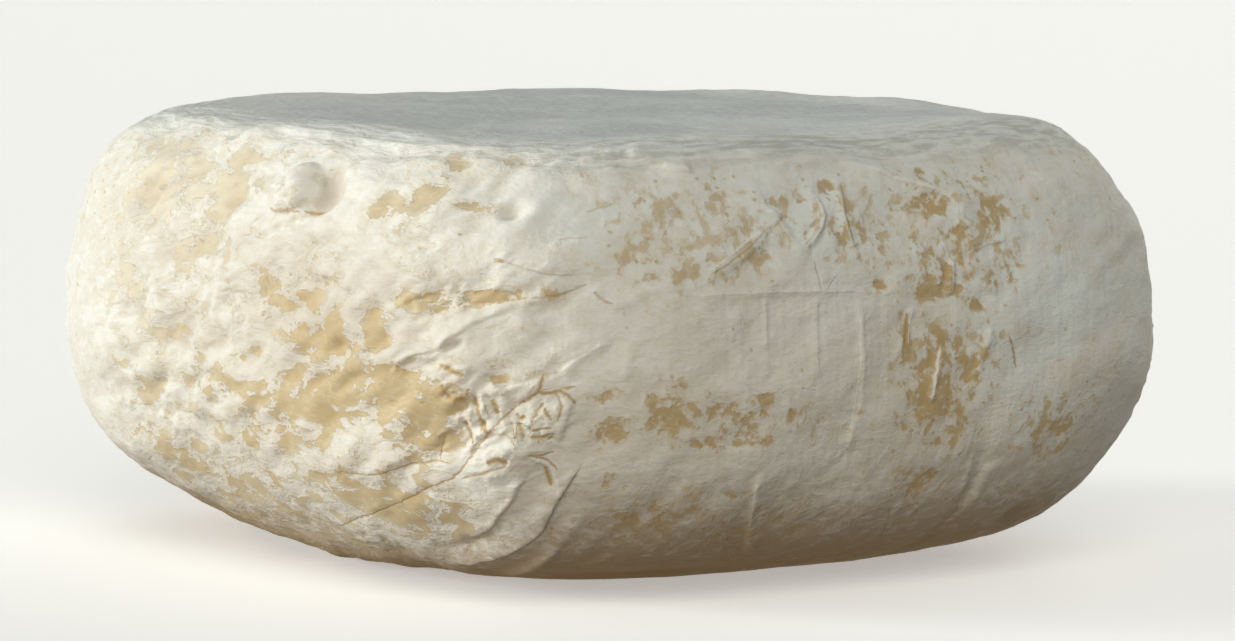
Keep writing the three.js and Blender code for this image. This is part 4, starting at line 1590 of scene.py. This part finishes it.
class CheeseColours(bpy.types.PropertyGroup):
    """Colours of the rind."""

    bloom: colour_property("Bloom", "Thick white bloom", (0.885, 0.88, 0.845))
    bloom_shade: colour_property("Bloom shade", "Duller clouds in the bloom", (0.815, 0.80, 0.745))
    thin_bloom: colour_property("Thin bloom", "Bloom that lets the paste show through", (0.80, 0.755, 0.65))
    cool: colour_property("Cool bloom", "Cooler clouds on the shaded side", (0.845, 0.892, 0.878))
    # Partly painted highlight: laid on the bloom's raised shore, along the ridges and on the crest's streaks.
    rim: colour_property("Rim", "Bright rim of the bloom where it ends", (0.93, 0.925, 0.89))
    # Painted shade: laid in the dents and dull places, partly duller bloom.
    hollow: colour_property("Hollow", "Duller bloom in the hollows", (0.68, 0.62, 0.53))
    paste: colour_property("Paste", "Bare waxy paste", (0.60, 0.49, 0.305))
    paste_brown: colour_property("Brown paste", "Bare paste of the small flecks", (0.56, 0.425, 0.225))
    # Also laid on where the paste is painted paler, partly painted light on the upper left.
    paste_light: colour_property("Light paste", "Paler paste at the edges of the bloom", (0.755, 0.69, 0.54))
    stain: colour_property("Stain", "Brown of the creases and pinholes", (0.52, 0.37, 0.17))
    # Partly painted shade: the rind is laid darker and browner towards the foot, partly brown rind and partly
    # the shade and warm bounce under the belly.
    foot: colour_property("Foot", "Brown that the rind takes on towards the foot", (0.41, 0.295, 0.16))
    # Painted shade between the crest's bright streaks, partly the top's grey.
    crest: colour_property("Crest", "Grey between the streaks of the crest", (0.57, 0.585, 0.56))
    # Partly painted shade: the top's grey and its paler clouds stand partly for the shade on the top under
    # the low lights, partly for grey bloom.
    crown: colour_property("Crown", "Cool grey bloom on the top", (0.535, 0.575, 0.59))
    crown_light: colour_property("Light crown", "Paler clouds on the top", (0.67, 0.705, 0.705))


class CheeseStage(bpy.types.PropertyGroup):
    """Floor and light."""

    floor: colour_property("Floor", "Colour of the floor", (0.88, 0.88, 0.87))
    horizon: colour_property("Horizon", "Colour of the light from all round", (0.07, 0.073, 0.075))
    zenith: colour_property("Zenith", "Colour of the light from above", (0.05, 0.07, 0.09))
    key_colour: colour_property("Key colour", "Colour of the light from the left", (0.98, 1.0, 0.945))
    fill_colour: colour_property("Fill colour", "Colour of the front and back lights", (1.0, 0.96, 0.84))
    bounce_colour: colour_property("Bounce colour", "Colour of the light from below", (1.0, 0.86, 0.68))
    key_strength: strength_property("Key light", "Strength of the light from the left", 2.7)
    fill_strength: strength_property("Fill light", "Strength of the light from above the front", 1.46)
    bounce_strength: strength_property("Bounce light", "Strength of the light from below", 0.95)
    back_strength: strength_property("Back light", "Strength of the light from behind", 1.7)
    sky_strength: strength_property("Sky light", "Strength of the light from all round and above", 1.0)


class CHEESE_OT_make_rind(bpy.types.Operator):
    """Sculpts the cheese, gives it its bloomy rind and puts it in the place of the solid"""

    bl_idname = "cheese.make_rind"
    bl_label = "Make cheese"

    def execute(self, context):
        shape = context.scene.cheese_shape
        rng = random.Random(FAR_SEED)
        ridges = []
        for half, height, light, path in RIDGES.values():
            # Ridges go in as creases with a negative stain, which the finish paints as a highlight.
            ridges.append((half, -RIDGE_SHARE * height, -light, path))
        creases = [*CREASES.values(), *ridges, *far_lines(rng, FAR_CREASE_COUNT, FAR_CREASE_RANGES)]
        pleats = [*PLEATS.values(), *far_lines(rng, FAR_PLEAT_COUNT, FAR_PLEAT_RANGES)]
        lines = [flowing(crease[-1]) for crease in (*CREASES.values(), *ridges)]
        lines += [flowing(pleat[-1]) for pleat in pleats]
        welts = [flowing(welt[-1]) for welt in WELTS.values()]
        body = turned_body()
        split_faces(body, outer_places)
        split_faces(body, shown_places)
        split_faces(body, near_lines(welts, WELT_SPLIT))
        split_faces(body, near_lines(lines + welts, CREASE_SPLIT))
        split_faces(body, near_lines([line for line in lines if in_bundle(line)], BUNDLE_SPLIT))
        climb = [vert.co.z - math.hypot(vert.co.x, vert.co.y) for vert in body.verts]
        wear = (*LIT_SIDE_WEAR.values(), *SHADED_SIDE_WEAR.values(), *far_wear(rng))
        surface = sculpt(body, creases, pleats, wear)

        size = [value / MILLIMETRE for value in (shape.length, shape.width, shape.height)]
        places = fitted(surface.places + surface.outward * surface.rise[:, None], size)
        for vert, place in zip(body.verts, places):
            vert.co = place * MILLIMETRE
        mesh = bpy.data.meshes.new("cheese_rind")
        body.to_mesh(mesh)
        body.free()
        mesh.shade_smooth()

        calm = 1 - lumpiness(surface.places)
        dusky = DUSK_LIT + (DUSK_SHADED - DUSK_LIT) * calm
        add_value(mesh, "worn", surface.worn)
        add_value(mesh, "fleck", calm)
        add_value(mesh, "climb", climb)
        # Painted shade: the hollow value darkens dents and dull places.
        add_value(mesh, "hollow", surface.hollow)
        # The paleness of the paste, partly painted light on the upper left.
        add_value(mesh, "ripe", surface.ripe)
        add_value(mesh, "cool", surface.cool)
        # Darker and browner towards the foot: partly painted shade.
        add_value(mesh, "dusk", 1 - smooth(surface.places[:, 2], DUSK_FROM, dusky))
        for number, layer in enumerate(surface.layers):
            add_vector(mesh, f"line_{number}", layer.values)

        piece = bpy.data.objects.new("cheese_rind", mesh)
        context.scene.collection.objects.link(piece)
        mesh.materials.append(rind_finish(context.scene.cheese_colours))
        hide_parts(NODE)
        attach(piece, "root")
        return {"FINISHED"}


def add_floor(settings):
    """A wide plain floor."""
    grid = bmesh.new()
    bmesh.ops.create_grid(grid, x_segments=1, y_segments=1, size=FLOOR_HALF)
    mesh = bpy.data.meshes.new("floor")
    grid.to_mesh(mesh)
    grid.free()
    finish = Finish("floor")
    finish.shader.inputs["Base Color"].default_value = tuple(settings.floor)
    finish.shader.inputs["Roughness"].default_value = FLOOR_ROUGHNESS
    finish.shader.inputs["Emission Color"].default_value = tuple(settings.floor)
    finish.shader.inputs["Emission Strength"].default_value = FLOOR_GLOW
    mesh.materials.append(finish.material)
    floor = bpy.data.objects.new("floor", mesh)
    floor.visible_diffuse = False
    floor.visible_shadow = False
    bpy.context.scene.collection.objects.link(floor)


def add_lamp(name, around, above, spread, strength, colour):
    """A broad far light from a direction given by its angle round the object and its height angle."""
    light = bpy.data.lights.new(name, "SUN")
    light.energy = strength
    light.angle = math.radians(spread)
    light.color = colour
    lamp = bpy.data.objects.new(name, light)
    around, above = math.radians(around), math.radians(above)
    flat = math.cos(above)
    towards = Vector((flat * math.cos(around), flat * math.sin(around), math.sin(above)))
    lamp.rotation_euler = towards.to_track_quat("Z", "Y").to_euler()
    bpy.context.scene.collection.objects.link(lamp)


def add_sky(settings):
    """A soft light from all round above the horizon that turns cooler overhead."""
    world = bpy.data.worlds.new("studio")
    world.use_nodes = True
    tree = world.node_tree
    background = tree.nodes["Background"]
    direction = tree.nodes.new("ShaderNodeTexCoord")
    parts = tree.nodes.new("ShaderNodeSeparateXYZ")
    tree.links.new(direction.outputs["Generated"], parts.inputs[0])
    halves = tree.nodes.new("ShaderNodeMix")
    halves.data_type = "RGBA"
    tree.links.new(parts.outputs["Z"], halves.inputs[MIX_FACTOR])
    halves.inputs[MIX_FIRST].default_value = tuple(settings.horizon)
    halves.inputs[MIX_SECOND].default_value = tuple(settings.zenith)
    above = tree.nodes.new("ShaderNodeMath")
    above.operation = "GREATER_THAN"
    above.inputs[1].default_value = 0.0
    tree.links.new(parts.outputs["Z"], above.inputs[0])
    strength = tree.nodes.new("ShaderNodeMath")
    strength.operation = "MULTIPLY"
    strength.inputs[1].default_value = settings.sky_strength
    tree.links.new(above.outputs[0], strength.inputs[0])
    tree.links.new(halves.outputs[MIX_RESULT], background.inputs["Color"])
    tree.links.new(strength.outputs[0], background.inputs["Strength"])
    bpy.context.scene.world = world


def add_camera():
    """The camera at the photograph's place, turned as it was held."""
    around = math.radians(CAMERA_AROUND)
    pan = math.radians(CAMERA_PAN)
    tilt = math.radians(CAMERA_TILT)
    roll = math.radians(CAMERA_ROLL)
    back = Vector((math.sin(around), -math.cos(around), 0))
    right = Vector((math.cos(around), math.sin(around), 0))
    up = Vector((0, 0, 1))
    level = -back * math.cos(pan) + right * math.sin(pan)
    beside = right * math.cos(pan) + back * math.sin(pan)
    ahead = level * math.cos(tilt) + up * math.sin(tilt)
    above = up * math.cos(tilt) - level * math.sin(tilt)
    across = beside * math.cos(roll) + above * math.sin(roll)
    upright = above * math.cos(roll) - beside * math.sin(roll)

    lens = bpy.data.cameras.new("camera")
    lens.lens = CAMERA_LENS
    lens.sensor_width = SENSOR_WIDTH
    lens.sensor_fit = "HORIZONTAL"
    lens.clip_start = CAMERA_NEAR
    camera = bpy.data.objects.new("camera", lens)
    turn = Matrix((across, upright, -ahead)).transposed().to_4x4()
    camera.matrix_world = Matrix.Translation(back * CAMERA_DISTANCE + up * CAMERA_HEIGHT) @ turn
    bpy.context.scene.collection.objects.link(camera)
    bpy.context.scene.camera = camera


class CHEESE_OT_set_stage(bpy.types.Operator):
    """Adds the floor, the lights and the camera"""

    bl_idname = "cheese.set_stage"
    bl_label = "Set stage"

    def execute(self, context):
        settings = context.scene.cheese_stage
        add_floor(settings)
        add_lamp("key", *KEY_LIGHT, settings.key_strength, settings.key_colour[:3])
        add_lamp("fill", *FILL_LIGHT, settings.fill_strength, settings.fill_colour[:3])
        add_lamp("bounce", *BOUNCE_LIGHT, settings.bounce_strength, settings.bounce_colour[:3])
        add_lamp("back", *BACK_LIGHT, settings.back_strength, settings.fill_colour[:3])
        add_sky(settings)
        add_camera()
        context.scene.view_settings.view_transform = "Standard"
        return {"FINISHED"}


class CHEESE_PT_panel(bpy.types.Panel):
    """Lists the cheese's sizes, colours and steps"""

    bl_idname = "CHEESE_PT_panel"
    bl_label = "Square soft cheese"
    bl_space_type = "VIEW_3D"
    bl_region_type = "UI"
    bl_category = "Cheese"

    def draw(self, context):
        scene = context.scene
        for settings in (scene.cheese_shape, scene.cheese_colours, scene.cheese_stage):
            for name in settings.__annotations__:
                self.layout.prop(settings, name)
        self.layout.operator(CHEESE_OT_make_rind.bl_idname)
        self.layout.operator(CHEESE_OT_set_stage.bl_idname)


CLASSES = (
    CheeseShape,
    CheeseColours,
    CheeseStage,
    CHEESE_OT_make_rind,
    CHEESE_OT_set_stage,
    CHEESE_PT_panel,
)


def register():
    """Makes the cheese's classes and settings known."""
    for kind in CLASSES:
        bpy.utils.register_class(kind)
    bpy.types.Scene.cheese_shape = bpy.props.PointerProperty(type=CheeseShape)
    bpy.types.Scene.cheese_colours = bpy.props.PointerProperty(type=CheeseColours)
    bpy.types.Scene.cheese_stage = bpy.props.PointerProperty(type=CheeseStage)


def unregister():
    """Takes the cheese's classes and settings away again."""
    del bpy.types.Scene.cheese_stage
    del bpy.types.Scene.cheese_colours
    del bpy.types.Scene.cheese_shape
    for kind in reversed(CLASSES):
        bpy.utils.unregister_class(kind)


def main():
    """Makes the cheese and its stage."""
    register()
    bpy.ops.cheese.make_rind()
    bpy.ops.cheese.set_stage()


if __name__ == "__main__":
    main()
